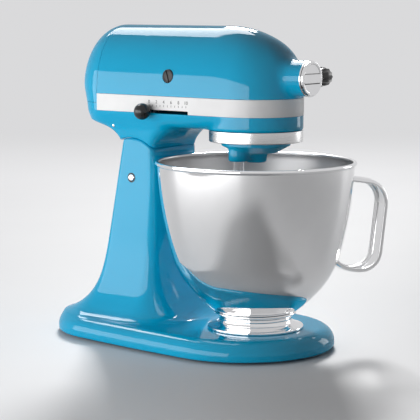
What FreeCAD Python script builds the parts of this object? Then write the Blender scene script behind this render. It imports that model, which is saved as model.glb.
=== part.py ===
# Tilt-head stand mixer as separate pieces in one frame, in millimetres.
# +Z is up, the front of the mixer is -Y, and the origin lies on the table under the bowl axis.
import FreeCAD, Part
import math
import os

import Sketcher
from FreeCAD import Placement, Rotation, Vector

SIZES = {
    # Base
    "base_front_r": 102.0,
    "base_front_y": 18.0,
    "base_rear_r": 90.0,
    "base_rear_y": 173.0,
    "base_side_r": 2000.0,
    "base_under_z": 3.0,
    "base_deck_z": 24.0,
    "base_wall": 5.0,
    "base_deck_t": 6.0,
    "base_edge_r": 12.0,
    "foot_r": 9.0,
    "foot_top_z": 6.0,
    "foot_front_x": 66.0,
    "foot_front_y": -22.0,
    "foot_rear_x": 44.0,
    "foot_rear_y": 226.0,
    "boss_rim": 2.5,
    # Column
    "column_top_z": 217.0,
    "column_front_y": 116.0,
    "column_rear_y": 168.2,
    "column_rear_lean": 35.0,
    "column_half_w": 38.0,
    "column_corner_r": 14.0,
    "foot_flare_x": 26.0,
    "foot_flare_front": 34.0,
    "foot_flare_rear": 47.0,
    "foot_corner_r": 40.0,
    "column_wall": 6.5,
    "column_core_low_z": 32.0,
    "column_core_z": 140.0,
    "bolt_r": 4.0,
    "bolt_head_r": 7.0,
    "bolt_head_t": 4.0,
    "bolt_len": 24.0,
    "bolt_x": 25.0,
    "bolt_front_y": 115.0,
    "bolt_rear_y": 192.0,
    "bolt_boss_wall": 5.0,
    # Hinge
    "hinge_y": 144.0,
    "hinge_z": 183.0,
    "hinge_pin_r": 4.0,
    "hinge_pin_half": 39.2,
    "seam_r": 44.7,
    "seam_gap": 0.5,
    "tongue_half": 13.6,
    "tongue_r": 30.0,
    "tongue_gap": 0.4,
    "tongue_spread": 20.0,
    "tilt_max": 60.0,
    "grub_r": 3.0,
    "grub_x": 26.0,
    "grub_len": 22.0,
    # Bowl and clamp plate
    "bowl_rim_r": 110.0,
    "bowl_rim_z": 208.0,
    "bowl_rim_out": 2.4,
    "bowl_wall": 1.2,
    "bowl_belly_r": 90.0,
    "bowl_belly_z": 98.0,
    "bowl_bottom_r": 44.0,
    "bowl_bottom_z": 43.0,
    "bowl_low_arc": 120.0,
    "bowl_high_arc": 430.0,
    "ring_r": 52.8,
    "ring_waist_r": 39.8,
    "ring_waist_z": 34.0,
    "ring_wall": 2.2,
    "deck_gap": 0.3,
    "lug_in_r": 38.2,
    "lug_half": 8.8,
    "lug_lift": 0.6,
    "lug_t": 2.0,
    "plate_r": 37.0,
    "plate_t": 4.4,
    "tab_r": 40.6,
    "tab_half": 12.0,
    "tab_gap": 0.4,
    "plate_screw_r": 2.5,
    "plate_screw_head_r": 4.6,
    "plate_screw_head_t": 2.2,
    "plate_screw_at": 24.0,
    "handle_turn": -32.0,
    "handle_out": 45.4,
    "handle_lean": 6.0,
    "handle_top_z": 189.0,
    "handle_low_z": 78.2,
    "handle_t": 5.0,
    "handle_top_bend_r": 28.0,
    "handle_low_bend_r": 28.3,
    "handle_foot_bend_r": 49.5,
    "handle_w": 28.0,
    # Head shell
    "head_half_w": 51.5,
    "head_len": 182.0,
    "head_spring_z": 277.0,
    "head_top_z": 353.5,
    "head_top_r": 42.0,
    "head_split_z": 266.5,
    "head_nose_y": 35.0,
    "head_nose_r": 130.0,
    "head_wall": 3.0,
    "band_low_z": 257.9,
    "band_t": 1.6,
    "band_proud": 0.4,
    # Lower case
    "case_low_z": 242.0,
    "case_floor_z": 247.0,
    "case_wall": 3.0,
    "belly_low_z": 242.0,
    "belly_low_r": 43.5,
    "belly_front_y": 20.0,
    "case_room_r": 43.8,
    # Attachment hub
    "hub_z": 299.0,
    "hub_barrel_r": 19.0,
    "hub_barrel_y": -66.0,
    "hub_blend_r": 8.0,
    "hub_ring_r": 19.4,
    "hub_face_y": -71.0,
    "hub_sleeve_r": 15.5,
    "hub_sleeve_end_y": -27.0,
    "hub_bore_r": 12.7,
    "hub_bore_end_y": -42.0,
    "cap_r": 18.6,
    "cap_t": 2.6,
    "cap_gap": 0.4,
    "cap_bar_half": 5.0,
    "cap_bar_t": 0.9,
    "cap_pin_r": 1.1,
    "cap_pin_x": 21.8,
    "cap_pin_y": -69.0,
    "cap_knuckle_r": 1.9,
    "cap_knuckle_half": 4.5,
    "cap_ear_t": 3.0,
    "thumb_y": -57.0,
    "thumb_r": 10.0,
    "thumb_in_x": 26.0,
    "thumb_out_x": 54.0,
    "thumb_stud_r": 3.0,
    "thumb_stud_in_x": 13.2,
    # Drip ring and planetary
    "drip_r": 51.2,
    "drip_low_z": 229.0,
    "drip_wall": 2.2,
    "drip_lip_r": 39.0,
    "drip_lip_t": 1.5,
    "planet_angle": 170.0,
    "planet_teeth": 13.0,
    "ring_teeth": 48.0,
    "ring_gear_r": 44.0,
    "ring_gear_low_z": 232.5,
    "planet_low_z": 233.5,
    "planet_top_z": 240.5,
    "carrier_r": 37.6,
    "carrier_top_z": 231.5,
    "carrier_low_z": 216.0,
    "carrier_nose_r": 11.5,
    "carrier_nose_z": 206.3,
    "carrier_hub_r": 10.0,
    "carrier_boss_r": 9.8,
    "carrier_boss_z": 209.0,
    "beater_r": 6.35,
    "beater_low_z": 165.0,
    "beater_bush_r": 8.2,
    "cross_pin_r": 1.6,
    "cross_pin_half": 10.0,
    "cross_pin_z": 187.0,
    "seat_groove_z": 182.6,
    "seat_groove_w": 1.6,
    "seat_groove_t": 0.35,
    # Gear train
    "gear_module": 1.5,
    "tooth_slack": 0.36,
    "centre_teeth": 48.0,
    "lay_teeth": 12.0,
    "spur_low_z": 252.0,
    "spur_top_z": 260.0,
    "centre_bevel_teeth": 24.0,
    "hub_bevel_teeth": 16.0,
    "lay_bevel_teeth": 24.0,
    "motor_bevel_teeth": 12.0,
    "bevel_small_end": 0.64,
    "bevel_boss_t": 8.0,
    "bevel_boss_r": 9.5,
    "centre_shaft_r": 6.0,
    "centre_shaft_low_z": 209.0,
    "lay_shaft_r": 5.0,
    "hub_shaft_r": 7.5,
    "hub_square": 9.2,
    "hub_square_deep": 14.0,
    "run_gap": 0.05,
    "press_gap": 0.02,
    # Gear frame
    "frame_half_w": 42.5,
    "frame_front_y": -26.0,
    "frame_low_z": 270.0,
    "frame_t": 4.0,
    "frame_wall_y": 69.0,
    "frame_wall_t": 7.0,
    "frame_wall_half": 26.0,
    "frame_wall_top_z": 320.0,
    "leg_r": 4.5,
    "leg_x": 38.0,
    "leg_front_y": -21.0,
    "leg_rear_y": 46.0,
    "leg_screw_r": 2.0,
    "leg_screw_head_r": 3.6,
    "leg_screw_head_t": 3.0,
    "bush_wall": 3.0,
    "bush_lip": 1.0,
    # Motor
    "motor_shaft_r": 5.0,
    "motor_shaft_end_y": 190.0,
    "motor_bearing_r": 9.5,
    "bracket_y": 171.0,
    "bracket_t": 5.0,
    "bracket_half": 24.0,
    "bracket_top_z": 326.0,
    "post_r": 4.5,
    "post_z": 318.0,
    "post_end_back": 37.6,
    "core_front_y": 100.0,
    "core_rear_y": 150.0,
    "core_r": 21.8,
    "core_slot_w": 3.0,
    "core_slot_deep": 6.0,
    "core_slots": 12.0,
    "air_gap": 0.8,
    "stator_r": 36.0,
    "stator_yoke": 6.0,
    "stator_flat": 2.0,
    "pole_half": 48.0,
    "coil_end": 8.0,
    "coil_gap": 0.6,
    "coil_arm": 22.0,
    "commutator_r": 11.0,
    "commutator_half": 6.0,
    "brush_y": 83.0,
    "brush_gap": 0.4,
    "brush_r": 4.0,
    "brush_len": 14.6,
    "holder_wall": 1.4,
    "holder_in_x": 12.4,
    "brush_cap_r": 7.4,
    "brush_cap_seat_x": 47.4,
    "brush_cap_t": 2.9,
    "brush_plug_len": 3.4,
    "brush_slot_w": 1.8,
    "spring_r": 2.9,
    "spring_wire_r": 0.45,
    "spring_turns": 7.0,
    "fan_y": 160.0,
    "fan_t": 8.0,
    "fan_r": 26.0,
    "fan_plate_t": 1.6,
    "fan_hub_r": 9.0,
    "fan_blades": 9.0,
    "governor_y": 179.0,
    "governor_t": 8.0,
    "governor_r": 12.0,
    "plate_y": 193.0,
    "control_plate_t": 2.0,
    "control_half_w": 20.0,
    "control_half_h": 22.0,
    "control_post_r": 2.5,
    "control_post_x": 15.0,
    "control_post_drop": 16.0,
    "cover_screw_r": 2.2,
    "cover_screw_head_r": 4.6,
    "cover_screw_head_t": 2.6,
    "cover_screw_len": 16.0,
    # Levers
    "lever_z": 258.7,
    "lever_t": 2.6,
    "lever_w": 8.0,
    "lever_slot_gap": 0.5,
    "speed_y": 110.0,
    "speed_travel": 52.0,
    "speed_knob_x": 62.0,
    "speed_knob_r": 9.2,
    "speed_link_x": 38.4,
    "speed_link_w": 3.6,
    "speed_link_len": 48.0,
    "lock_y": 106.0,
    "lock_travel": 20.0,
    "lock_knob_x": 60.0,
    "lock_knob_r": 6.6,
    "lock_in_x": 38.0,
    # Cord gland
    "gland_z": 253.0,
    "gland_r": 5.6,
    "gland_bore_r": 3.6,
    "gland_flange_r": 7.4,
    "gland_flange_t": 6.0,
    "gland_in_back": 40.0,
    "gland_out_back": 49.6,
}

doc = FreeCAD.newDocument("stand_mixer")
sheet = doc.addObject("Spreadsheet::Sheet", "Sheet")
pieces = []


class Size:
    """A number together with the sheet expression that it comes from."""

    def __init__(self, value, text):
        self.value = float(value)
        self.text = text

    def join(self, other, sign, value):
        return Size(value, "(%s %s %s)" % (self.text, sign, lift(other).text))

    def __add__(self, other):
        return self.join(other, "+", self.value + lift(other).value)

    def __sub__(self, other):
        return self.join(other, "-", self.value - lift(other).value)

    def __mul__(self, other):
        return self.join(other, "*", self.value * lift(other).value)

    def __truediv__(self, other):
        return self.join(other, "/", self.value / lift(other).value)

    def __neg__(self):
        return Size(-self.value, "(-%s)" % self.text)

    def __float__(self):
        return self.value


class Names:
    """Holds every size of the sheet under its own name."""


def lift(number):
    if isinstance(number, Size):
        return number
    return Size(number, "(%r)" % float(number))


def root(number):
    return Size(math.sqrt(number.value), "sqrt(%s)" % number.text)


def cosine(angle):
    return Size(math.cos(math.radians(angle.value)), "cos(%s)" % angle.text)


def sine(angle):
    return Size(math.sin(math.radians(angle.value)), "sin(%s)" % angle.text)


def fill_sheet():
    names = Names()
    for row, (name, number) in enumerate(SIZES.items(), 1):
        sheet.set("A%d" % row, name)
        sheet.set("B%d" % row, repr(number))
        sheet.setAlias("B%d" % row, name)
    doc.recompute()
    for name in SIZES:
        setattr(names, name, Size(sheet.get(name), "Sheet.%s" % name))
    return names


S = fill_sheet()


def new_body(label, x=0, y=0, z=0, turn=None):
    """Adds an empty body at a place bound to the sheet, turned about the upright axis."""
    body = doc.addObject("PartDesign::Body", label)
    body.Label = label
    if turn is not None:
        body.Placement = Placement(Vector(0, 0, 0), Rotation(Vector(0, 0, 1), turn.value))
        body.setExpression("Placement.Rotation.Angle", turn.text)
    for axis, place in (("x", x), ("y", y), ("z", z)):
        if isinstance(place, Size):
            body.setExpression("Placement.Base.%s" % axis, place.text)
    pieces.append(body)
    return body


def plane_of(body, name):
    return [item for item in body.Origin.OriginFeatures if item.Role == name][0]


def arc_between(a, b, radius, turn):
    """The shorter arc from a to b, counterclockwise for turn 1 and clockwise for turn -1."""
    half = (b - a) * 0.5
    rise = math.sqrt(max(radius * radius - half.Length ** 2, 0.0))
    side = Vector(-half.y, half.x, 0).normalize() * (rise * turn)
    centre = a + half + side
    start, end = (a, b) if turn > 0 else (b, a)
    first = math.atan2(start.y - centre.y, start.x - centre.x)
    last = math.atan2(end.y - centre.y, end.x - centre.x)
    return Part.ArcOfCircle(Part.Circle(centre, Vector(0, 0, 1), radius), first, last)


def hold(sketch, rules):
    """Adds constraints and binds each one that has a size to the sheet."""
    for kind, args, size in rules:
        size = lift(size)
        index = sketch.addConstraint(Sketcher.Constraint(kind, *args, size.value))
        if "Sheet" in size.text:
            sketch.setExpression("Constraints[%d]" % index, size.text)


def trace(sketch, corners):
    """Draws one closed outline: (x, y) starts a line, (x, y, radius, turn) starts an arc."""
    points = [Vector(float(c[0]), float(c[1]), 0) for c in corners]
    edges = []
    rules = []
    for i, corner in enumerate(corners):
        a = points[i]
        b = points[(i + 1) % len(points)]
        if len(corner) == 2:
            edges.append((sketch.addGeometry(Part.LineSegment(a, b)), 1, 2))
            continue
        arc = arc_between(a, b, float(corner[2]), corner[3])
        ends = (1, 2) if corner[3] > 0 else (2, 1)
        edges.append((sketch.addGeometry(arc),) + ends)
    for i, (edge, first, last) in enumerate(edges):
        after, start, _ = edges[(i + 1) % len(edges)]
        sketch.addConstraint(Sketcher.Constraint("Coincident", edge, last, after, start))
    for (edge, first, last), corner in zip(edges, corners):
        rules.append(("DistanceX", (-1, 1, edge, first), corner[0]))
        rules.append(("DistanceY", (-1, 1, edge, first), corner[1]))
        if len(corner) == 4:
            rules.append(("Radius", (edge,), corner[2]))
    hold(sketch, rules)


def ring(sketch, x, y, radius):
    circle = Part.Circle(Vector(float(x), float(y), 0), Vector(0, 0, 1), float(radius))
    edge = sketch.addGeometry(circle)
    rules = [("DistanceX", (-1, 1, edge, 3), x), ("DistanceY", (-1, 1, edge, 3), y)]
    hold(sketch, rules + [("Radius", (edge,), radius)])


def draw(body, plane, outlines=(), rings=(), offset=0):
    """A sketch on one of the body's own planes, moved along the normal of that plane."""
    sketch = body.newObject("Sketcher::SketchObject", "Sketch")
    sketch.AttachmentSupport = [(plane_of(body, plane), "")]
    sketch.MapMode = "FlatFace"
    offset = lift(offset)
    sketch.AttachmentOffset = Placement(Vector(0, 0, offset.value), Rotation())
    if "Sheet" in offset.text:
        sketch.setExpression("AttachmentOffset.Base.z", offset.text)
    for corners in outlines:
        trace(sketch, corners)
    for circle in rings:
        ring(sketch, *circle)
    return sketch


def push(body, kind, sketch, length, back=False, both=False):
    """A pad or a pocket of a sketch."""
    feature = body.newObject("PartDesign::%s" % kind, kind)
    feature.Profile = sketch
    feature.Length = float(length)
    if isinstance(length, Size):
        feature.setExpression("Length", length.text)
    feature.Reversed = back
    if both:
        feature.SideType = "Symmetric"
    body.Tip = feature
    return feature


def spin(body, kind, sketch, axis, angle=360, back=False):
    """A revolution or a groove of a sketch."""
    feature = body.newObject("PartDesign::%s" % kind, kind)
    feature.Profile = sketch
    feature.ReferenceAxis = (sketch, [axis])
    feature.Angle = angle
    feature.Reversed = back
    body.Tip = feature
    return feature


def around(body, feature, axis, count):
    """Repeats a feature about one of the body's own axes."""
    pattern = body.newObject("PartDesign::PolarPattern", "Pattern")
    pattern.Originals = [feature]
    pattern.Axis = (plane_of(body, axis), [""])
    pattern.Angle = 360
    pattern.Occurrences = int(float(count))
    if isinstance(count, Size):
        pattern.setExpression("Occurrences", count.text)
    body.Tip = pattern
    return pattern


def both_sides(body, features):
    """Repeats features on the other side of the middle plane."""
    mirror = body.newObject("PartDesign::Mirrored", "Mirrored")
    mirror.Originals = features
    mirror.MirrorPlane = (plane_of(body, "YZ_Plane"), [""])
    body.Tip = mirror
    return mirror


def soften(body, feature, radius, wanted):
    """Rounds the edges of a feature that pass a test."""
    doc.recompute()
    names = []
    for i, edge in enumerate(feature.Shape.Edges, 1):
        if wanted(edge):
            names.append("Edge%d" % i)
    fillet = body.newObject("PartDesign::Fillet", "Fillet")
    fillet.Base = (feature, names)
    fillet.Radius = radius.value
    fillet.setExpression("Radius", radius.text)
    body.Tip = fillet
    return fillet


def turned(label, axis, *outlines, x=0, y=0, z=0, turn=None):
    """A piece turned on a lathe; corners are (along, radius), or (radius, height) about z."""
    body = new_body(label, x, y, z, turn)
    plane = "YZ_Plane" if axis == "y" else "XZ_Plane"
    sketch = draw(body, plane, outlines)
    spin(body, "Revolution", sketch, "V_Axis" if axis == "z" else "H_Axis")
    return body


def tube(r_in, r_out, low, high):
    """The outline of a tube, for turning about z."""
    return [(r_in, low), (r_out, low), (r_out, high), (r_in, high)]


def lie(low, high, r_in, r_out):
    """The outline of a tube, for turning about x or y."""
    return [(low, r_in), (high, r_in), (high, r_out), (low, r_out)]


def block(x_low, x_high, y_low, y_high):
    return [(x_low, y_low), (x_high, y_low), (x_high, y_high), (x_low, y_high)]


def shaped(label, shape):
    piece = doc.addObject("Part::Feature", label)
    piece.Label = label
    piece.Shape = shape
    pieces.append(piece)
    return piece


def cuboid(x_low, x_high, y_low, y_high, z_low, z_high):
    low = Vector(float(x_low), float(y_low), float(z_low))
    high = Vector(float(x_high), float(y_high), float(z_high))
    size = high - low
    return Part.makeBox(size.x, size.y, size.z, low)


def rod(radius, length, start, way):
    return Part.makeCylinder(float(radius), float(length), Vector(*map(float, start)), Vector(*way))


# Base

def base_outline(inset):
    """Front and rear arcs, each drawn in two halves, joined by two long side arcs."""
    front = S.base_front_r - inset
    rear = S.base_rear_r - inset
    side = S.base_side_r - inset
    run = S.base_rear_y - S.base_front_y
    to_front = S.base_side_r - S.base_front_r
    to_rear = S.base_side_r - S.base_rear_r
    along = (to_front * to_front - to_rear * to_rear + run * run) / (run * 2)
    across = root(to_front * to_front - along * along)
    front_x = across * front / to_front
    front_y = S.base_front_y - along * front / to_front
    rear_x = across * rear / to_rear
    rear_y = S.base_rear_y + (run - along) * rear / to_rear
    return [
        (front_x, front_y, side, 1),
        (rear_x, rear_y, rear, 1),
        (lift(0), S.base_rear_y + rear, rear, 1),
        (-rear_x, rear_y, side, 1),
        (-front_x, front_y, front, 1),
        (lift(0), S.base_front_y - front, front, 1),
    ]


FEET = [
    (lift(0), lift(0)),
    (S.foot_front_x, S.foot_front_y),
    (-S.foot_front_x, S.foot_front_y),
    (S.foot_rear_x, S.foot_rear_y),
    (-S.foot_rear_x, S.foot_rear_y),
]
BOLTS = [
    (S.bolt_x, S.bolt_front_y),
    (-S.bolt_x, S.bolt_front_y),
    (S.bolt_x, S.bolt_rear_y),
    (-S.bolt_x, S.bolt_rear_y),
]
PLATE_SCREWS = [
    (S.plate_screw_at, lift(0)),
    (-S.plate_screw_at * 0.5, S.plate_screw_at * 0.866),
    (-S.plate_screw_at * 0.5, -S.plate_screw_at * 0.866),
]


def rings_at(places, radius):
    return [(x, y, radius) for x, y in places]


def screws(label, places, head, head_low, head_t, shank, shank_low, shank_len):
    """Equal screws that stand upright, as one group."""
    body = new_body(label)
    push(body, "Pad", draw(body, "XY_Plane", (), rings_at(places, head), head_low), head_t)
    push(body, "Pad", draw(body, "XY_Plane", (), rings_at(places, shank), shank_low), shank_len)


def base_casting():
    body = new_body("base_casting")
    under = S.base_deck_z - S.base_deck_t
    height = S.base_deck_z - S.base_under_z
    solid = push(body, "Pad", draw(body, "XY_Plane", [base_outline(0)], (), S.base_under_z), height)
    soften(body, solid, S.base_edge_r, lambda edge: edge.BoundBox.ZMin > S.base_deck_z.value - 0.01)
    hollow = draw(body, "XY_Plane", [base_outline(S.base_wall)], (), S.base_under_z)
    push(body, "Pocket", hollow, under - S.base_under_z, back=True)
    bosses = draw(body, "XY_Plane", (), rings_at(FEET, S.foot_r + S.boss_rim), S.foot_top_z)
    push(body, "Pad", bosses, under - S.foot_top_z + 1)
    holes = rings_at(BOLTS, S.bolt_r + S.press_gap)
    holes += rings_at(PLATE_SCREWS, S.plate_screw_r + S.press_gap)
    window = block(*foot_window())
    push(body, "Pocket", draw(body, "XY_Plane", [window], holes, under), S.base_deck_t + 1, back=True)


def foot_window():
    """The way from the hollow base up into the hollow column."""
    half = S.bolt_x * 0.7
    return -half, half, S.bolt_front_y + 18, S.bolt_rear_y - 18


def base_feet():
    body = new_body("base_feet")
    push(body, "Pad", draw(body, "XY_Plane", (), rings_at(FEET, S.foot_r)), S.foot_top_z)


def clamp_plate():
    low = S.base_deck_z
    body = turned("bowl_clamp_plate", "z", tube(0, S.plate_r, low, low + S.plate_t))
    tab_low = S.base_deck_z + S.lug_lift + S.lug_t + S.tab_gap
    tab = block(S.plate_r - 2, S.tab_r, -S.tab_half, S.tab_half)
    tabs = push(body, "Pad", draw(body, "XY_Plane", [tab], (), tab_low), low + S.plate_t - tab_low)
    around(body, tabs, "Z_Axis", 3)
    holes = draw(body, "XY_Plane", (), rings_at(PLATE_SCREWS, S.plate_screw_r + S.press_gap), low)
    push(body, "Pocket", holes, S.plate_t + 1, back=True)


# Column

def rounded(half, front, rear, corner, z):
    """A level rounded rectangle as a wire, symmetric about the middle plane."""
    k = corner * (1 - math.sqrt(0.5))
    a = [
        Vector(half, front + corner, z),
        Vector(half, rear - corner, z),
        Vector(half - k, rear - k, z),
        Vector(half - corner, rear, z),
    ]
    b = [
        Vector(-half + corner, rear, z),
        Vector(-half + k, rear - k, z),
        Vector(-half, rear - corner, z),
        Vector(-half, front + corner, z),
    ]
    c = [
        Vector(-half + k, front + k, z),
        Vector(-half + corner, front, z),
        Vector(half - corner, front, z),
        Vector(half - k, front + k, z),
    ]
    edges = [
        Part.LineSegment(a[0], a[1]),
        Part.Arc(a[1], a[2], a[3]),
        Part.LineSegment(a[3], b[0]),
        Part.Arc(b[0], b[1], b[2]),
        Part.LineSegment(b[2], b[3]),
        Part.Arc(b[3], c[0], c[1]),
        Part.LineSegment(c[1], c[2]),
        Part.Arc(c[2], c[3], a[0]),
    ]
    return Part.Wire([edge.toShape() for edge in edges])


def column_section(z, inset):
    """The column leans out gently all the way down and flares at its foot."""
    down = (S.column_top_z.value - z) / (S.column_top_z.value - S.base_deck_z.value)
    lean = down * abs(down)
    flare = max(down, 0) ** 10
    half = S.column_half_w.value + 8 * lean + S.foot_flare_x.value * max(down, 0) ** 8 - inset
    front = S.column_front_y.value - 4 * lean - S.foot_flare_front.value * flare + inset
    rear = S.column_rear_y.value + S.column_rear_lean.value * down
    rear += S.foot_flare_rear.value * flare - inset
    corner = S.column_corner_r.value + 10 * lean + S.foot_corner_r.value * flare - inset * 0.5
    return rounded(half, front, rear, corner, z)


def fan_of(angles, reach, half):
    """A wedge about the hinge pin; angles run from +Y towards +Z."""
    y = S.hinge_y.value
    z = S.hinge_z.value
    corners = [Vector(-half, y, z)]
    for angle in angles:
        a = math.radians(angle)
        corners.append(Vector(-half, y + reach * math.cos(a), z + reach * math.sin(a)))
    face = Part.Face(Part.makePolygon(corners + corners[:1]))
    return face.extrude(Vector(2 * half, 0, 0))


def about_pin(radius, half):
    return rod(radius, 2 * float(half), (-float(half), S.hinge_y, S.hinge_z), (1, 0, 0))


def column_casting():
    low = S.base_deck_z.value
    top = S.column_top_z.value
    steps = [low, low + 6, low + 14, low + 26, low + 44, low + 75, low + 120, low + 165, top + 20]
    solid = Part.makeLoft([column_section(z, 0) for z in steps], True)
    far = S.head_half_w * 2
    above = cuboid(-far, far, 0, S.head_len * 2, S.hinge_z, top + 40)
    solid = solid.cut(above.cut(about_pin(S.seam_r, far)))
    wall = S.column_wall.value
    core_low = S.column_core_low_z.value
    core_rise = S.column_core_z.value - core_low
    levels = [core_low, core_low + 10]
    levels += [core_low + core_rise * share for share in (0.3, 0.6, 1)]
    solid = solid.cut(Part.makeLoft([column_section(z, wall) for z in levels], True))
    for x, y in BOLTS:
        solid = solid.fuse(rod(S.bolt_r + S.bolt_boss_wall, S.bolt_len + 4, (x, y, low), (0, 0, 1)))
    solid = solid.cut(cuboid(*foot_window(), low - 1, core_low + 1))
    slot = S.tongue_half.value + S.tongue_gap.value
    solid = solid.cut(about_pin(S.tongue_r + S.tongue_gap, slot))
    spread = S.tongue_spread.value + 2
    last = 90 - spread - S.tilt_max.value
    middle = 0.5 * (90 + spread + last)
    solid = solid.cut(fan_of([last, 0.5 * (last + middle), middle, 90 + spread], 80, slot))
    solid = solid.cut(about_pin(S.hinge_pin_r + S.press_gap, 60))
    grub = rod(S.grub_r + S.press_gap, 60, (S.grub_x, S.hinge_y, S.hinge_z), (0, 1, 0))
    solid = solid.cut(grub)
    for x, y in BOLTS:
        hole = rod(S.bolt_r + S.press_gap, S.bolt_len, (x, y, low), (0, 0, 1))
        solid = solid.cut(hole)
    shaped("column_casting", solid)


def hinge_parts():
    turned("hinge_pin", "x", lie(-S.hinge_pin_half, S.hinge_pin_half, 0, S.hinge_pin_r),
           y=S.hinge_y, z=S.hinge_z)
    start = S.hinge_y + S.hinge_pin_r + S.press_gap
    turned("hinge_grub_screw", "y", lie(start, start + S.grub_len, 0, S.grub_r), x=S.grub_x, z=S.hinge_z)


# Bowl

def bowl_lip_r():
    return S.bowl_rim_r - S.bowl_rim_out


def bowl_shell():
    wall = S.bowl_wall
    lip = S.bowl_rim_z - 5
    turned("bowl_shell", "z", [
        (0, S.bowl_bottom_z),
        (S.bowl_bottom_r, S.bowl_bottom_z, S.bowl_low_arc, 1),
        (S.bowl_belly_r, S.bowl_belly_z, S.bowl_high_arc, 1),
        (bowl_lip_r(), lip),
        (S.bowl_rim_r, lip + 1.4),
        (S.bowl_rim_r, S.bowl_rim_z - 1.2),
        (S.bowl_rim_r - 1.2, S.bowl_rim_z),
        (bowl_lip_r() - wall, S.bowl_rim_z),
        (bowl_lip_r() - wall, lip, S.bowl_high_arc - wall, -1),
        (S.bowl_belly_r - wall * 0.94, S.bowl_belly_z + wall * 0.34, S.bowl_low_arc - wall, -1),
        (S.bowl_bottom_r - wall * 0.5, S.bowl_bottom_z + wall),
        (0, S.bowl_bottom_z + wall),
    ])


def bowl_ring():
    low = S.base_deck_z + S.deck_gap
    wall = S.ring_wall
    waist = S.ring_waist_r
    waist_z = S.ring_waist_z
    body = turned("bowl_foot_ring", "z", [
        (S.ring_r, low),
        (S.ring_r, low + 2.5),
        (S.ring_r - 5.3, low + 3.9),
        (waist + 2.2, waist_z - 3),
        (waist, waist_z),
        (waist + 0.8, waist_z + 3.5),
        (S.bowl_bottom_r, S.bowl_bottom_z - 2.5),
        (S.bowl_bottom_r, S.bowl_bottom_z),
        (S.bowl_bottom_r - wall * 3, S.bowl_bottom_z),
        (waist - wall, waist_z + 3),
        (waist - wall, waist_z),
        (waist - 0.2, waist_z - 3.2),
        (S.ring_r - 7.6, low + 3),
        (S.ring_r - 3.3, low + 1.6),
        (S.ring_r - 3.3, low),
    ])
    lug = block(S.lug_in_r, S.ring_r - 1.5, -S.lug_half, S.lug_half)
    lugs = push(body, "Pad", draw(body, "XY_Plane", [lug], (), S.base_deck_z + S.lug_lift), S.lug_t)
    around(body, lugs, "Z_Axis", 3)


def bowl_handle():
    """A strap bent to a D, drawn in its own upright plane and turned to its place."""
    body = new_body("bowl_handle", turn=S.handle_turn)
    out = S.bowl_rim_r + S.handle_out
    inner = out - S.handle_lean
    bend = inner - S.handle_low_bend_r
    top = S.handle_top_z
    low = S.handle_low_z
    t = S.handle_t
    foot_x = S.bowl_belly_r
    foot_z = S.bowl_belly_z
    strap = draw(body, "XZ_Plane", [[
        (bowl_lip_r() - 2.6, top),
        (out - 23.2, top - 4.1, S.handle_top_bend_r, -1),
        (out, top - 35),
        (inner, low + 25, S.handle_low_bend_r, -1),
        (bend, low, S.handle_foot_bend_r, -1),
        (foot_x - 3.4, foot_z - 5.6),
        (foot_x - 1.2, foot_z - 1, S.handle_foot_bend_r - t, 1),
        (bend, low + t, S.handle_low_bend_r - t, 1),
        (inner - t, low + 25),
        (out - t, top - 35, S.handle_top_bend_r - t, 1),
        (out - 23.2 - t * 0.16, top - 4.1 - t * 0.987),
        (bowl_lip_r() - 2.6, top - t),
    ]])
    push(body, "Pad", strap, S.handle_w, both=True)


# Head shell

def arch(half, top, top_r, low, step):
    """Half of the head's cross-section: upright foot, long side arc and round top arc."""
    rise = top - S.head_spring_z
    side_r = (top_r * top_r - half * half - (rise - top_r) * (rise - top_r)) / ((top_r - half) * 2)
    centre_x = side_r - half
    span = side_r - top_r
    touch_x = centre_x * top_r / span
    touch_z = top - top_r + (rise - top_r) * top_r / span
    corners = [(half - step, low), (half - step, S.head_spring_z)]
    if float(step) > 0:
        corners.append((half, S.head_spring_z, side_r, 1))
    else:
        corners[-1] = corners[-1] + (side_r, 1)
    return corners, (touch_x, touch_z, top_r, 1), (side_r, 1)


def half_arch(half, top, top_r, low, step):
    side, shoulder, _ = arch(half, top, top_r, low, step)
    return [(0, low)] + side + [shoulder, (0, top)]


def head_skin(step):
    return S.head_half_w, S.head_top_z, S.head_top_r, S.head_split_z, step


def head_room():
    wall = S.head_wall
    return S.head_half_w - wall, S.head_top_z - wall, S.head_top_r - wall, S.head_split_z - 1, 0


def arch_wire(half, top, low, y):
    """The head's full cross-section at one station, as an upright wire."""
    spring = S.head_spring_z.value
    top_r = half * S.head_top_r.value / S.head_half_w.value
    rise = top - spring - top_r
    side_r = (half * half + rise * rise - top_r * top_r) / (2 * (half - top_r))
    lean = math.atan2(rise, side_r - half)
    bend = Vector(top_r * math.cos(lean), y, top - top_r + top_r * math.sin(lean))
    bow = Vector(half - side_r + side_r * math.cos(lean / 2), y, spring + side_r * math.sin(lean / 2))

    def left(point):
        return Vector(-point.x, point.y, point.z)

    foot = Vector(half, y, low)
    shoulder = Vector(half, y, spring)
    edges = [
        Part.LineSegment(left(foot), foot),
        Part.LineSegment(foot, shoulder),
        Part.Arc(shoulder, bow, bend),
        Part.Arc(bend, Vector(0, y, top), left(bend)),
        Part.Arc(left(bend), left(bow), left(shoulder)),
        Part.LineSegment(left(shoulder), left(foot)),
    ]
    return Part.Wire([edge.toShape() for edge in edges])


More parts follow.
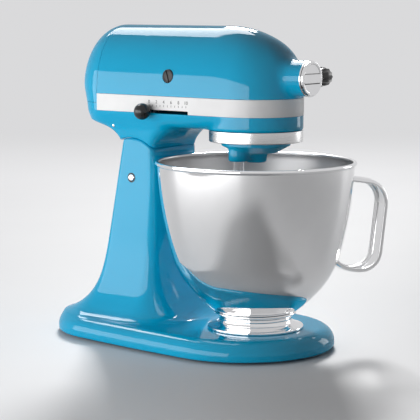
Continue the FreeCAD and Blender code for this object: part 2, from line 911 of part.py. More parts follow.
def head_solid(inset, low):
    """Straight body with a nose that narrows to a round front and falls along one arc."""
    half = S.head_half_w.value - inset
    nose_y = S.head_nose_y.value
    nose_r = S.head_nose_r.value
    stations = [nose_y, nose_y * 0.5, 0]
    stations += [-half * part for part in (0.3, 0.55, 0.74, 0.87, 0.95, 0.996)]
    wires = []
    for y in stations:
        wide = math.sqrt(half * half - min(y, 0) ** 2)
        run = nose_y - y
        top = S.head_top_z.value - nose_r + math.sqrt(nose_r * nose_r - run * run)
        wires.append(arch_wire(wide, top - inset, low, y))
    nose = Part.makeLoft(wires, True)
    rest = S.head_len.value - nose_y
    return nose.fuse(Part.Face(wires[0]).extrude(Vector(0, rest, 0)))


def hub_flare():
    """A hollow round that leads from the round front into the hub barrel."""
    half = S.head_half_w.value
    blend = S.hub_blend_r.value
    barrel = S.hub_barrel_r.value
    high = barrel + blend
    back = -math.sqrt((half + blend) ** 2 - high ** 2)
    part = half / (half + blend)
    z = S.hub_z.value
    start = Vector(0, back, z + barrel)
    end = Vector(0, back * part, z + high * part)
    centre = Vector(0, back, z + high)
    way = (start + end) * 0.5 - centre
    middle = centre + way.normalize() * blend
    corners = [end, Vector(0, 0, end.z), Vector(0, 0, z), Vector(0, back, z), start]
    edges = [Part.Arc(start, middle, end).toShape()]
    edges += [Part.makeLine(a, b) for a, b in zip(corners, corners[1:])]
    face = Part.Face(Part.Wire(edges))
    return face.revolve(Vector(0, 0, z), Vector(0, 1, 0), 360)


def head_shell():
    split = S.head_split_z.value
    hub_z = S.hub_z
    solid = head_solid(0, split)
    far = S.head_half_w * 2
    ledge = tall(stadium(S.head_half_w - S.band_t, 0, S.head_len, split), S.head_spring_z - split)
    solid = solid.cut(cuboid(-far, far, -far, S.head_len + 1, split - 1, S.head_spring_z).cut(ledge))
    barrel = rod(S.hub_barrel_r, -S.hub_barrel_y, (0, 0, hub_z), (0, -1, 0))
    solid = solid.fuse([barrel, hub_flare()]).removeSplitter()
    solid = solid.cut(head_solid(S.head_wall.value, split - 1))
    solid = solid.cut(rod(S.hub_sleeve_r + S.press_gap, 60, (0, S.hub_barrel_y - 5, hub_z), (0, 1, 0)))
    thumb = rod(S.thumb_stud_r + S.run_gap, 40, (0, S.thumb_y, hub_z), (1, 0, 0))
    solid = solid.cut(thumb)
    hole_r = S.brush_r + S.holder_wall + S.press_gap * 2
    solid = solid.cut(rod(hole_r, far * 2, (-far, S.brush_y, hub_z), (1, 0, 0)))
    for way in (1, -1):
        seat = rod(S.brush_cap_r + 0.2, 20, (S.brush_cap_seat_x * way, S.brush_y, hub_z), (way, 0, 0))
        solid = solid.cut(seat)
    shaped("head_shell", solid)


def post_end_y():
    return S.head_len + S.post_end_back


def gland_in_y():
    return S.head_len + S.gland_in_back


def gland_out_y():
    return S.head_len + S.gland_out_back


def rear_cover():
    body = new_body("rear_cover", y=S.head_len)
    spin(body, "Revolution", draw(body, "XZ_Plane", [half_arch(*head_skin(lift(0)))]), "V_Axis", 180)
    spin(body, "Groove", draw(body, "XZ_Plane", [half_arch(*head_room())]), "V_Axis", 180)
    hole = draw(body, "XZ_Plane", (), [(0, S.post_z, S.cover_screw_r + 0.2)])
    push(body, "Pocket", hole, S.head_half_w + 20)
    seat_y = post_end_y() + S.head_wall * 0.5 + 0.4 - S.head_len
    seat = draw(body, "XZ_Plane", (), [(0, S.post_z, S.cover_screw_head_r + 0.2)], -seat_y)
    push(body, "Pocket", seat, lift(20))


def trim_band():
    """A strip that runs along one side, round the front and back along the other side."""
    out = S.head_half_w + S.band_proud
    inside = S.head_half_w - S.band_t
    rear = S.head_len
    body = new_body("trim_band")
    strip = draw(body, "XY_Plane", [[
        (out, 0),
        (out, rear),
        (inside, rear),
        (inside, 0, inside, -1),
        (0, -inside, inside, -1),
        (-inside, 0),
        (-inside, rear),
        (-out, rear),
        (-out, 0, out, 1),
        (0, -out, out, 1),
    ]], (), S.band_low_z)
    push(body, "Pad", strip, S.head_spring_z - S.band_low_z)
    slots = [
        block(-out - 1, -inside + 1, *speed_slot()),
        block(inside - 1, out + 1, *lock_slot()),
    ]
    cut = draw(body, "XY_Plane", slots, (), S.band_low_z)
    push(body, "Pocket", cut, S.lever_z + S.lever_t + S.lever_slot_gap - S.band_low_z, back=True)


def speed_slot():
    room = S.lever_w * 0.5 + S.lever_slot_gap
    return S.speed_y - S.speed_travel - room, S.speed_y + room


def lock_slot():
    room = S.lever_w * 0.5 + S.lever_slot_gap
    return S.lock_y - S.lock_travel - room, S.lock_y + room


# Lower case

def stadium(radius, front, rear, z):
    """Two straight sides and two half rounds, as a level wire."""
    radius = float(radius)
    front = float(front)
    rear = float(rear)
    z = float(z)
    ends = [
        Part.LineSegment(Vector(radius, front, z), Vector(radius, rear, z)),
        Part.Arc(Vector(radius, rear, z), Vector(0, rear + radius, z), Vector(-radius, rear, z)),
        Part.LineSegment(Vector(-radius, rear, z), Vector(-radius, front, z)),
        Part.Arc(Vector(-radius, front, z), Vector(0, front - radius, z), Vector(radius, front, z)),
    ]
    return Part.Wire([edge.toShape() for edge in ends])


def tall(wire, height):
    return Part.Face(wire).extrude(Vector(0, 0, float(height)))


def lower_case():
    half = S.head_half_w
    low = S.band_low_z
    rear = S.head_len
    ledge = stadium(half - S.band_t, 0, rear, low)
    solid = tall(ledge, S.head_split_z - low)
    front = rod(half, low - S.case_low_z, (0, 0, S.case_low_z), (0, 0, 1))
    belly = Part.makeLoft([
        stadium(S.belly_low_r, S.belly_front_y, rear, S.belly_low_z),
        stadium(half, S.belly_front_y, rear, low),
    ], True, True)
    tail = stadium(half, rear - 1, rear, low)
    seat = cuboid(-100, 100, rear, rear + 100, low, S.head_split_z)
    solid = solid.fuse([front, belly, tall(tail, S.head_split_z - low).common(seat)])
    column = S.column_half_w.value
    ahead = S.column_front_y.value
    behind = S.column_rear_y.value
    corner = S.column_corner_r.value
    foot = S.column_top_z.value
    rise = S.belly_low_z.value + 4 - foot
    neck = Part.makeLoft([
        rounded(column, ahead, behind, corner, foot - 12),
        rounded(column, ahead, behind, corner, foot),
        rounded(column + 2.5, ahead - 12, behind + 9, corner + 4, foot + rise * 0.52),
        rounded(column + 5, ahead - 44, behind + 48, corner + 20, foot + rise),
    ], True)
    far = half * 2
    neck = neck.cut(about_pin(S.seam_r + S.seam_gap, far))
    neck = neck.cut(cuboid(-far, far, 0, rear * 2, S.hinge_z, foot - 3))
    solid = solid.fuse(neck)
    room = tall(stadium(S.case_room_r, S.belly_front_y, rear, S.case_floor_z), 30)
    room = room.fuse(rod(half - S.case_wall, 30, (0, 0, S.case_floor_z), (0, 0, 1)))
    solid = solid.cut(room)
    spread = S.tongue_spread.value
    tongue = about_pin(S.tongue_r, S.tongue_half)
    web = fan_of([90 - spread, 90 + spread], S.seam_r.value + 14, S.tongue_half.value)
    solid = solid.fuse(tongue.fuse(web))
    for y in (S.core_front_y.value + 8, S.core_rear_y.value - 12):
        top = S.hub_z - S.stator_r + S.stator_flat
        solid = solid.fuse(cuboid(-16, 16, y, y + 4, S.case_floor_z - 1, top))
    solid = solid.cut(about_pin(S.hinge_pin_r + S.run_gap, 60))
    for y, shaft in ((0, S.centre_shaft_r), (lay_y(), S.lay_shaft_r)):
        hole = rod(shaft + S.bush_wall + S.press_gap, 20, (0, y, S.belly_low_z - 2), (0, 0, 1))
        solid = solid.cut(hole)
    for x, y in LEGS:
        solid = solid.cut(rod(S.leg_screw_r + S.press_gap, 20, (x, y, S.case_low_z + 1), (0, 0, 1)))
    slot_low = S.lever_z - S.lever_slot_gap
    speed = speed_slot()
    lock = lock_slot()
    inside = S.case_room_r - 3.8
    solid = solid.cut(cuboid(-far, -inside, speed[0], speed[1], slot_low, S.head_top_z))
    solid = solid.cut(cuboid(inside, far, lock[0], lock[1], slot_low, S.head_top_z))
    gland = rod(S.gland_r + S.press_gap, 40, (0, gland_in_y() - 6, S.gland_z), (0, 1, 0))
    solid = solid.cut(gland)
    face = rod(S.gland_flange_r + 0.3, 40, (0, gland_out_y() - 2.6, S.gland_z), (0, 1, 0))
    shaped("lower_case", solid.cut(face).removeSplitter())


# Gear train

def lay_y():
    return (S.centre_teeth + S.lay_teeth) * S.gear_module * 0.5


LEGS = [
    (S.leg_x, S.leg_front_y),
    (-S.leg_x, S.leg_front_y),
    (S.leg_x, S.leg_rear_y),
    (-S.leg_x, S.leg_rear_y),
]


def tooth_ring(teeth, pitch_r, out, inward, phase, inside=False):
    """Corners of a toothed outline; a ring with inside teeth has them pointing to the axis."""
    teeth = int(float(teeth))
    slack = S.tooth_slack.value
    half = math.pi * pitch_r / teeth / 2 - slack / 2
    slope = math.tan(math.radians(22))
    tip_half = half - S.gear_module.value * 0.85 * slope
    foot_half = half + S.gear_module.value * 1.1 * slope
    tip_r = pitch_r - inward if inside else pitch_r + out
    foot_r = pitch_r + out if inside else pitch_r - inward
    corners = []
    for i in range(teeth):
        middle = math.radians(phase) + 2 * math.pi * i / teeth
        for r, shift in ((foot_r, -foot_half), (tip_r, -tip_half), (tip_r, tip_half), (foot_r, foot_half)):
            a = middle + shift / r
            corners.append((r * math.cos(a), r * math.sin(a)))
    return corners


def prismoid(low, low_z, high, high_z):
    """A solid with flat sides between two level outlines with matching corners."""
    a = [Vector(x, y, low_z) for x, y in low]
    b = [Vector(x, y, high_z) for x, y in high]
    faces = [Part.Face(Part.makePolygon(a + a[:1])), Part.Face(Part.makePolygon(b + b[:1]))]
    for i in range(len(a)):
        j = (i + 1) % len(a)
        faces.append(Part.Face(Part.makePolygon([a[i], a[j], b[j], b[i], a[i]])))
    solid = Part.Solid(Part.Shell(faces))
    if solid.Volume < 0:
        solid.reverse()
    return solid


def spur(teeth, phase, low, high, inside=False):
    module = S.gear_module.value
    pitch_r = float(teeth) * module / 2
    if inside:
        corners = tooth_ring(teeth, pitch_r, 1.1 * module, 0.85 * module, phase, True)
    else:
        corners = tooth_ring(teeth, pitch_r, 0.85 * module, 1.1 * module, phase)
    return prismoid(corners, float(low), corners, float(high))


def bevel(teeth, mate, phase, boss_t, bore):
    """A bevel gear with its apex at the origin and its axis along +Z."""
    module = S.gear_module.value
    pitch_r = float(teeth) * module / 2
    apex = float(mate) * module / 2
    lean = math.cos(math.atan2(pitch_r, apex))
    corners = tooth_ring(teeth, pitch_r, 0.85 * module / lean, 1.1 * module / lean, phase)
    k = S.bevel_small_end.value
    small = [(x * k, y * k) for x, y in corners]
    gear = prismoid(small, apex * k, corners, apex)
    boss_r = min(S.bevel_boss_r.value, pitch_r - 1.1 * module / lean - 0.3)
    gear = gear.fuse(rod(boss_r, boss_t, (0, 0, apex), (0, 0, 1)))
    return gear.cut(rod(float(bore) + S.press_gap.value, 60, (0, 0, 0), (0, 0, 1)))


def put(shape, place, angle):
    """Moves a gear's apex to its place and turns it about X."""
    moved = shape.copy()
    moved.Placement = Placement(Vector(*map(float, place)), Rotation(Vector(1, 0, 0), angle))
    return moved


def gears():
    press = S.press_gap
    low = S.spur_low_z
    high = S.spur_top_z
    wheel = spur(S.centre_teeth, 0, low, high)
    shaped("centre_spur_gear", wheel.cut(rod(S.centre_shaft_r + press, 80, (0, 0, 200), (0, 0, 1))))
    pinion = spur(S.lay_teeth, 180 / S.lay_teeth.value, low, high)
    pinion = pinion.cut(rod(S.lay_shaft_r + press, 80, (0, 0, 200), (0, 0, 1)))
    shaped("lay_pinion", put(pinion, (0, lay_y(), 0), 0))
    apex = (0, 0, S.hub_z)
    boss = S.bevel_boss_t.value
    gear = bevel(S.centre_bevel_teeth, S.hub_bevel_teeth, 0, boss, S.centre_shaft_r)
    shaped("centre_bevel_gear", put(gear, apex, 180))
    teeth = S.hub_bevel_teeth
    gear = bevel(teeth, S.centre_bevel_teeth, 180 / teeth.value, 3, S.motor_shaft_r)
    shaped("hub_gear", put(gear, apex, 90))
    gear = bevel(S.lay_bevel_teeth, S.motor_bevel_teeth, 0, boss, S.lay_shaft_r)
    shaped("lay_bevel_gear", put(gear, (0, lay_y(), S.hub_z), 180))
    teeth = S.motor_bevel_teeth
    gear = bevel(teeth, S.lay_bevel_teeth, 180 / teeth.value, 4, S.motor_shaft_r)
    shaped("motor_pinion", put(gear, (0, lay_y(), S.hub_z), -90))


def planet_offset():
    return (S.ring_teeth - S.planet_teeth) * S.gear_module * 0.5


def planet_gears():
    turn = S.planet_angle.value
    blank = rod(S.ring_gear_r, S.case_low_z - S.ring_gear_low_z, (0, 0, S.ring_gear_low_z), (0, 0, 1))
    teeth = spur(S.ring_teeth, turn + 180 / S.ring_teeth.value, 225, 250, True)
    shaped("ring_gear", blank.cut(teeth))
    gear = spur(S.planet_teeth, turn, S.planet_low_z, S.planet_top_z)
    gear = gear.cut(rod(S.beater_r + S.press_gap, 80, (0, 0, 200), (0, 0, 1)))
    a = math.radians(turn)
    reach = planet_offset().value
    shaped("beater_gear", put(gear, (reach * math.cos(a), reach * math.sin(a), 0), 0))


def planetary():
    press = S.press_gap
    inner = S.centre_shaft_r + press
    body = turned("planetary_carrier", "z", [
        (0, S.carrier_nose_z),
        (S.carrier_nose_r - 1, S.carrier_nose_z),
        (S.carrier_nose_r, S.carrier_nose_z + 1),
        (S.carrier_nose_r, S.carrier_low_z),
        (S.carrier_r - 15, S.carrier_low_z + 1.6),
        (S.carrier_r - 4, S.carrier_low_z + 5),
        (S.carrier_r, S.carrier_low_z + 8.5),
        (S.carrier_r, S.carrier_top_z),
        (S.carrier_hub_r, S.carrier_top_z),
        (S.carrier_hub_r, S.planet_top_z),
        (inner, S.planet_top_z),
        (inner, S.centre_shaft_low_z),
        (0, S.centre_shaft_low_z),
    ], turn=S.planet_angle)
    reach = planet_offset()
    boss = draw(body, "XY_Plane", (), [(reach, 0, S.carrier_boss_r)], S.carrier_boss_z)
    push(body, "Pad", boss, S.carrier_top_z - S.carrier_boss_z)
    bore = draw(body, "XY_Plane", (), [(reach, 0, S.beater_bush_r + press)], S.carrier_boss_z - 1)
    push(body, "Pocket", bore, S.carrier_top_z - S.carrier_boss_z + 5, back=True)
    x = reach * cosine(S.planet_angle)
    y = reach * sine(S.planet_angle)
    turned("beater_bush", "z",
           tube(S.beater_r + S.run_gap, S.beater_bush_r, S.carrier_boss_z, S.carrier_top_z), x=x, y=y)
    body = turned("beater_shaft", "z", [
        (0, S.beater_low_z),
        (S.beater_r - 1, S.beater_low_z),
        (S.beater_r, S.beater_low_z + 1),
        (S.beater_r, S.seat_groove_z),
        (S.beater_r - S.seat_groove_t, S.seat_groove_z),
        (S.beater_r - S.seat_groove_t, S.seat_groove_z + S.seat_groove_w),
        (S.beater_r, S.seat_groove_z + S.seat_groove_w),
        (S.beater_r, S.planet_top_z),
        (0, S.planet_top_z),
    ], x=x, y=y)
    hole = draw(body, "YZ_Plane", (), [(0, S.cross_pin_z, S.cross_pin_r + press)])
    push(body, "Pocket", hole, S.beater_r * 4, both=True)
    half = S.cross_pin_half
    turned("beater_cross_pin", "x", lie(-half, half, 0, S.cross_pin_r), x=x, y=y, z=S.cross_pin_z)


def shafts():
    top = S.hub_z - S.hub_bevel_teeth * S.gear_module * 0.5 + 2
    turned("centre_shaft", "z", tube(0, S.centre_shaft_r, S.centre_shaft_low_z, top))
    lay_top = S.hub_z - S.motor_bevel_teeth * S.gear_module * 0.5 + 2
    turned("lay_shaft", "z", tube(0, S.lay_shaft_r, S.belly_low_z + 1, lay_top), y=lay_y())
    frame_top = S.frame_low_z + S.frame_t
    bushes = []
    for radius, y in ((S.centre_shaft_r, 0), (S.lay_shaft_r, lay_y())):
        for low, high in ((S.case_low_z + 0.5, S.case_floor_z + S.bush_lip * 2),
                          (S.frame_low_z - S.bush_lip, frame_top + S.bush_lip)):
            bush = rod(radius + S.bush_wall, high - low, (0, y, low), (0, 0, 1))
            bushes.append(bush.cut(rod(radius + S.run_gap, 60, (0, y, low - 5), (0, 0, 1))))
    shaped("shaft_bushes", Part.Compound(bushes))


def gear_frame():
    top = S.frame_low_z + S.frame_t
    back = S.frame_wall_y + S.frame_wall_t
    solid = cuboid(-S.frame_half_w, S.frame_half_w, S.frame_front_y, back, S.frame_low_z, top)
    wall = cuboid(-S.frame_wall_half, S.frame_wall_half, S.frame_wall_y, back, top, S.frame_wall_top_z)
    solid = solid.fuse(wall)
    corner = rod(S.head_half_w - S.head_wall - 1.5, 20, (0, 0, S.frame_low_z - 5), (0, 0, 1))
    far = S.head_half_w
    keep = corner.fuse(cuboid(-far, far, 0, back + 10, S.case_low_z, S.head_top_z))
    solid = solid.common(keep)
    for x, y in LEGS:
        solid = solid.fuse(rod(S.leg_r, S.frame_low_z - S.case_floor_z, (x, y, S.case_floor_z), (0, 0, 1)))
    for x, y in LEGS:
        solid = solid.cut(rod(S.leg_screw_r + S.press_gap, 60, (x, y, S.case_floor_z - 5), (0, 0, 1)))
    for y, shaft in ((0, S.centre_shaft_r), (lay_y(), S.lay_shaft_r)):
        solid = solid.cut(rod(shaft + S.bush_wall + S.press_gap, 40, (0, y, 260), (0, 0, 1)))
    seat = rod(S.motor_bearing_r + S.press_gap, 40, (0, S.frame_wall_y - 10, S.hub_z), (0, 1, 0))
    shaped("gear_frame", solid.cut(seat))
    low = S.case_low_z + 1.5
    screws("frame_screws", LEGS, S.leg_screw_head_r, top, S.leg_screw_head_t,
           S.leg_screw_r, low, top - low)


# Attachment hub

def hub():
    press = S.press_gap
    shaft = S.hub_shaft_r
    inner = shaft + S.bush_wall
    body = turned("hub_sleeve", "y", [
        (S.hub_face_y, S.hub_bore_r),
        (S.hub_face_y, S.hub_ring_r - 0.8),
        (S.hub_face_y + 0.8, S.hub_ring_r),
        (S.hub_barrel_y, S.hub_ring_r),
        (S.hub_barrel_y, S.hub_sleeve_r),
        (S.hub_sleeve_end_y, S.hub_sleeve_r),
        (S.hub_sleeve_end_y, inner + press),
        (S.hub_bore_end_y, inner + press),
        (S.hub_bore_end_y, S.hub_bore_r),
    ], z=S.hub_z)
    ear_in = S.cap_knuckle_half + S.cap_gap
    ear_out = ear_in + S.cap_ear_t
    side = S.cap_pin_x
    for low in (ear_in, -ear_out):
        ear = block(S.hub_ring_r - 2.4, side + S.cap_knuckle_r, S.hub_face_y, S.cap_pin_y + S.cap_knuckle_r)
        push(body, "Pad", draw(body, "XY_Plane", [ear], (), low), S.cap_ear_t)
    pin = draw(body, "XY_Plane", (), [(side, S.cap_pin_y, S.cap_pin_r + press)])
    push(body, "Pocket", pin, ear_out * 4, both=True)
    hole = draw(body, "YZ_Plane", (), [(S.thumb_y, 0, S.thumb_stud_r + S.run_gap)])
    push(body, "Pocket", hole, S.hub_sleeve_r + 5, back=True)
    turned("hub_cap_pin", "z", tube(0, S.cap_pin_r, -ear_out, ear_out), x=side, y=S.cap_pin_y, z=S.hub_z)
    turned("hub_bush", "y", lie(S.hub_bore_end_y, S.hub_sleeve_end_y, shaft + S.run_gap, inner), z=S.hub_z)
    gear_y = S.centre_bevel_teeth * S.gear_module * 0.5
    body = turned("hub_shaft", "y", [
        (S.hub_bore_end_y, 0),
        (S.hub_bore_end_y, shaft),
        (-gear_y - 3.4, shaft),
        (-gear_y - 3.4, S.motor_shaft_r),
        (-gear_y + 3, S.motor_shaft_r),
        (-gear_y + 3, 0),
    ], z=S.hub_z)
    half = S.hub_square * 0.5
    square = draw(body, "XZ_Plane", [block(-half, half, -half, half)], (), -S.hub_bore_end_y)
    push(body, "Pocket", square, S.hub_square_deep)


def hub_cap():
    """A round cap with a raised rim and a level bar, hung from a knuckle at its far side."""
    back = S.hub_face_y - S.cap_gap
    face = back - S.cap_t
    body = turned("hub_cap", "y", [
        (back, 0),
        (back, S.cap_r),
        (face - 0.5, S.cap_r),
        (face - 1, S.cap_r - 0.5),
        (face - 1, S.cap_r - 1.8),
        (face, S.cap_r - 2.4),
        (face, 0),
    ], z=S.hub_z)
    half = S.cap_bar_half
    wide = root(S.cap_r * S.cap_r - half * half) - 1.8
    bar = draw(body, "XZ_Plane", [block(-wide, wide, -half, half)], (), -face)
    push(body, "Pad", bar, S.cap_bar_t)
    x = S.cap_pin_x
    y = S.cap_pin_y
    r = S.cap_knuckle_r
    arm = draw(body, "XY_Plane", [[
        (x + r, y, r, 1),
        (x, y + r, r, 1),
        (x - r, y),
        (x - r, back),
        (S.cap_r - 3, back),
        (S.cap_r - 3, face),
        (x - r * 0.5, face),
    ]])
    push(body, "Pad", arm, S.cap_knuckle_half * 2, both=True)
    pin = draw(body, "XY_Plane", (), [(x, y, S.cap_pin_r + S.run_gap)])
    push(body, "Pocket", pin, S.cap_knuckle_half * 4, both=True)


def thumb_knob():
    mid = (S.thumb_in_x + S.thumb_out_x) * 0.5
    r = S.thumb_r
    turned("hub_knob", "x", [
        (S.thumb_in_x, 0),
        (S.thumb_in_x, r * 0.6),
        (S.thumb_in_x + 4, r - 0.8),
        (S.thumb_in_x + 6, r),
        (mid + 5, r),
        (S.thumb_out_x - 2, r - 1),
        (S.thumb_out_x, r - 3.5),
        (S.thumb_out_x, 0),
    ], y=S.thumb_y, z=S.hub_z)
    turned("hub_knob_stud", "x", lie(S.thumb_stud_in_x, S.thumb_in_x, 0, S.thumb_stud_r),
           y=S.thumb_y, z=S.hub_z)


def drip_ring():
    low = S.drip_low_z
    turned("drip_ring", "z", [
        (S.drip_r - 0.8, low),
        (S.drip_r, low + 0.8),
        (S.drip_r, S.case_low_z),
        (S.drip_r - S.drip_wall, S.case_low_z),
        (S.drip_r - S.drip_wall, low + S.drip_lip_t),
        (S.drip_lip_r, low + S.drip_lip_t),
        (S.drip_lip_r, low),
    ])


# Motor

def motor_shaft():
    press = S.press_gap
    z = S.hub_z
    r = S.motor_shaft_r
    start = lay_y() + S.lay_bevel_teeth * S.gear_module * 0.5 - 4
    turned("motor_shaft", "y", lie(start, S.motor_shaft_end_y, 0, r), z=z)
    body = turned("armature_core", "y", lie(S.core_front_y, S.core_rear_y, r + press, S.core_r), z=z)
    half = S.core_slot_w * 0.5
    slot = block(-half, half, S.core_r - S.core_slot_deep, S.core_r + 2)
    cut = push(body, "Pocket", draw(body, "XZ_Plane", [slot], (), -S.core_front_y + 1),
               S.core_rear_y - S.core_front_y + 4)
    around(body, cut, "Y_Axis", S.core_slots)
    half = S.commutator_half
    turned("commutator", "y", lie(S.brush_y - half, S.brush_y + half, r + press, S.commutator_r), z=z)
    front = S.fan_y
    body = turned("cooling_fan", "y", [
        (front, r + press),
        (front + S.fan_t, r + press),
        (front + S.fan_t, S.fan_hub_r),
        (front + S.fan_plate_t, S.fan_hub_r),
        (front + S.fan_plate_t, S.fan_r),
        (front, S.fan_r),
    ], z=z)
    blade = block(-0.7, 0.7, S.fan_hub_r - 1, S.fan_r - 1)
    blade = push(body, "Pad", draw(body, "XZ_Plane", [blade], (), -front), S.fan_t, back=True)
    around(body, blade, "Y_Axis", S.fan_blades)
    front = S.governor_y
    back = front + S.governor_t
    turned("governor", "y", [
        (front, r + press),
        (back, r + press),
        (back, S.governor_r),
        (back - 2, S.governor_r),
        (back - 3, S.governor_r * 0.6),
        (front + 3, S.governor_r * 0.6),
        (front + 2, S.governor_r),
        (front, S.governor_r),
    ], z=z)
    bore = r + S.run_gap
    out = S.motor_bearing_r
    turned("motor_bearings", "y",
           lie(S.frame_wall_y, S.frame_wall_y + S.frame_wall_t, bore, out),
           lie(S.bracket_y, S.bracket_y + S.bracket_t, bore, out), z=z)


def sector(r_in, r_out, middle, spread, y_low, y_high):
    """Part of a tube about the motor axis; angles run from +X towards +Z."""
    turn = Placement(Vector(0, float(y_high), S.hub_z.value), Rotation(Vector(1, 0, 0), 90))
    length = float(y_high) - float(y_low)
    zero = Vector(0, 0, 0)
    up = Vector(0, 0, 1)
    solid = Part.makeCylinder(float(r_out), length, zero, up, 2 * spread)
    solid = solid.cut(Part.makeCylinder(float(r_in), length, zero, up, 360))
    solid.rotate(zero, up, middle - spread)
    solid.Placement = turn.multiply(solid.Placement)
    return solid


def stator():
    front = S.core_front_y
    rear = S.core_rear_y
    pole_r = S.core_r + S.air_gap
    yoke_r = S.stator_r - S.stator_yoke
    spread = S.pole_half.value
    core = sector(yoke_r, S.stator_r, 90, 180, front, rear)
    for middle in (90, 270):
        core = core.fuse(sector(pole_r, pole_r + 2.4, middle, spread, front, rear))
        core = core.fuse(sector(pole_r, yoke_r + 1, middle, spread - 24, front, rear))
    flat = S.hub_z - S.stator_r
    core = core.cut(cuboid(-60, 60, 0, 200, flat - 5, flat + S.stator_flat))
    shaped("stator_core", core)
    gap = S.coil_gap
    coils = []
    r_in = pole_r + 2.4 + gap
    r_out = yoke_r - gap
    arm = S.coil_arm.value / 2 - 1
    for middle in (90, 270):
        coil = None
        for side in (-1, 1):
            at = middle + side * (spread - 24 + 2 + arm)
            bar = sector(r_in, r_out, at, arm, front - S.coil_end, rear + S.coil_end)
            coil = bar if coil is None else coil.fuse(bar)
        wide = spread - 24 + 2 + 2 * arm
        for low, high in ((front - S.coil_end, front - 1), (rear + 1, rear + S.coil_end)):
            coil = coil.fuse(sector(r_in, r_out, middle, wide, low, high))
        coils.append(coil)
    shaped("field_coils", Part.Compound(coils))


def rear_bracket():
    back = S.bracket_y + S.bracket_t
    solid = cuboid(-S.bracket_half, S.bracket_half, S.bracket_y, back, S.case_floor_z, S.bracket_top_z)
    seat = rod(S.motor_bearing_r + S.press_gap, 40, (0, S.bracket_y - 10, S.hub_z), (0, 1, 0))
    solid = solid.cut(seat)
    post = rod(S.post_r, post_end_y() - back, (0, back, S.post_z), (0, 1, 0))
    solid = solid.fuse(post)
    tap = rod(S.cover_screw_r + S.press_gap, S.cover_screw_len + 2,
              (0, post_end_y() - S.cover_screw_len, S.post_z), (0, 1, 0))
    shaped("rear_bracket", solid.cut(tap))
    body = new_body("control_plate")
    z = S.hub_z
    outline = block(-S.control_half_w, S.control_half_w, z - S.control_half_h, z + S.control_half_h * 0.5)
    hole = [(0, z, S.motor_shaft_r + 2)]
    push(body, "Pad", draw(body, "XZ_Plane", [outline], hole, -S.plate_y), S.control_plate_t, back=True)
    posts = []
    for x in (-S.control_post_x, S.control_post_x):
        posts.append((x, z - S.control_post_drop, S.control_post_r))
    push(body, "Pad", draw(body, "XZ_Plane", (), posts, -back), S.plate_y - back, back=True)
    seat_y = post_end_y() + S.head_wall * 0.5 + 0.4
    turned("cover_screw", "y", [
        (post_end_y() - S.cover_screw_len + 1, 0),
        (post_end_y() - S.cover_screw_len + 1, S.cover_screw_r),
        (seat_y, S.cover_screw_r),
        (seat_y, S.cover_screw_head_r),
        (seat_y + S.cover_screw_head_t - 0.6, S.cover_screw_head_r),
        (seat_y + S.cover_screw_head_t, S.cover_screw_head_r - 1),
        (seat_y + S.cover_screw_head_t, 0),
    ], z=S.post_z)


def brushes():
    y = S.brush_y
    z = S.hub_z
    start = S.commutator_r + S.brush_gap
    seat = S.brush_cap_seat_x
    bore = S.brush_r + S.press_gap
    holder = S.brush_r + S.holder_wall

    def pair(label, outline):
        body = turned(label, "x", outline, y=y, z=z)
        both_sides(body, [body.Tip])
        return body

    pair("brush_holders", lie(S.holder_in_x, seat, bore, holder))
    pair("carbon_brushes", lie(start, start + S.brush_len, 0, S.brush_r))
    plug = seat - S.brush_plug_len
    body = turned("brush_caps", "x", [
        (plug, 0),
        (plug, S.brush_r),
        (seat, S.brush_r),
        (seat, S.brush_cap_r),
        (seat + S.brush_cap_t - 0.7, S.brush_cap_r),
        (seat + S.brush_cap_t, S.brush_cap_r - 0.7),
        (seat + S.brush_cap_t, 0),
    ], y=y, z=z)
    cap = body.Tip
    half = S.brush_slot_w * 0.5
    slot = block(-half, half, -S.brush_cap_r - 1, S.brush_cap_r + 1)
    cut = push(body, "Pocket", draw(body, "YZ_Plane", [slot], (), seat + S.brush_cap_t - 1.2), lift(5),
               back=True)
    both_sides(body, [cap, cut])
    wire = S.spring_wire_r.value
    first = start.value + S.brush_len.value + wire + 0.05
    last = plug.value - wire - 0.05
    radius = S.spring_r.value
    helix = Part.makeLongHelix((last - first) / S.spring_turns.value, last - first, radius)
    profile = Part.Wire(Part.makeCircle(wire, Vector(radius, 0, 0), Vector(0, 1, 0)))
    coil = Part.Wire(helix.Edges).makePipeShell([profile], True, True)
    right = coil.copy()
    right.Placement = Placement(Vector(first, y.value, z.value), Rotation(Vector(0, 1, 0), 90))
    left = coil.copy()
    left.Placement = Placement(Vector(-first, y.value, z.value), Rotation(Vector(0, 1, 0), -90))
    shaped("brush_springs", Part.Compound([right, left]))


# Levers and gland

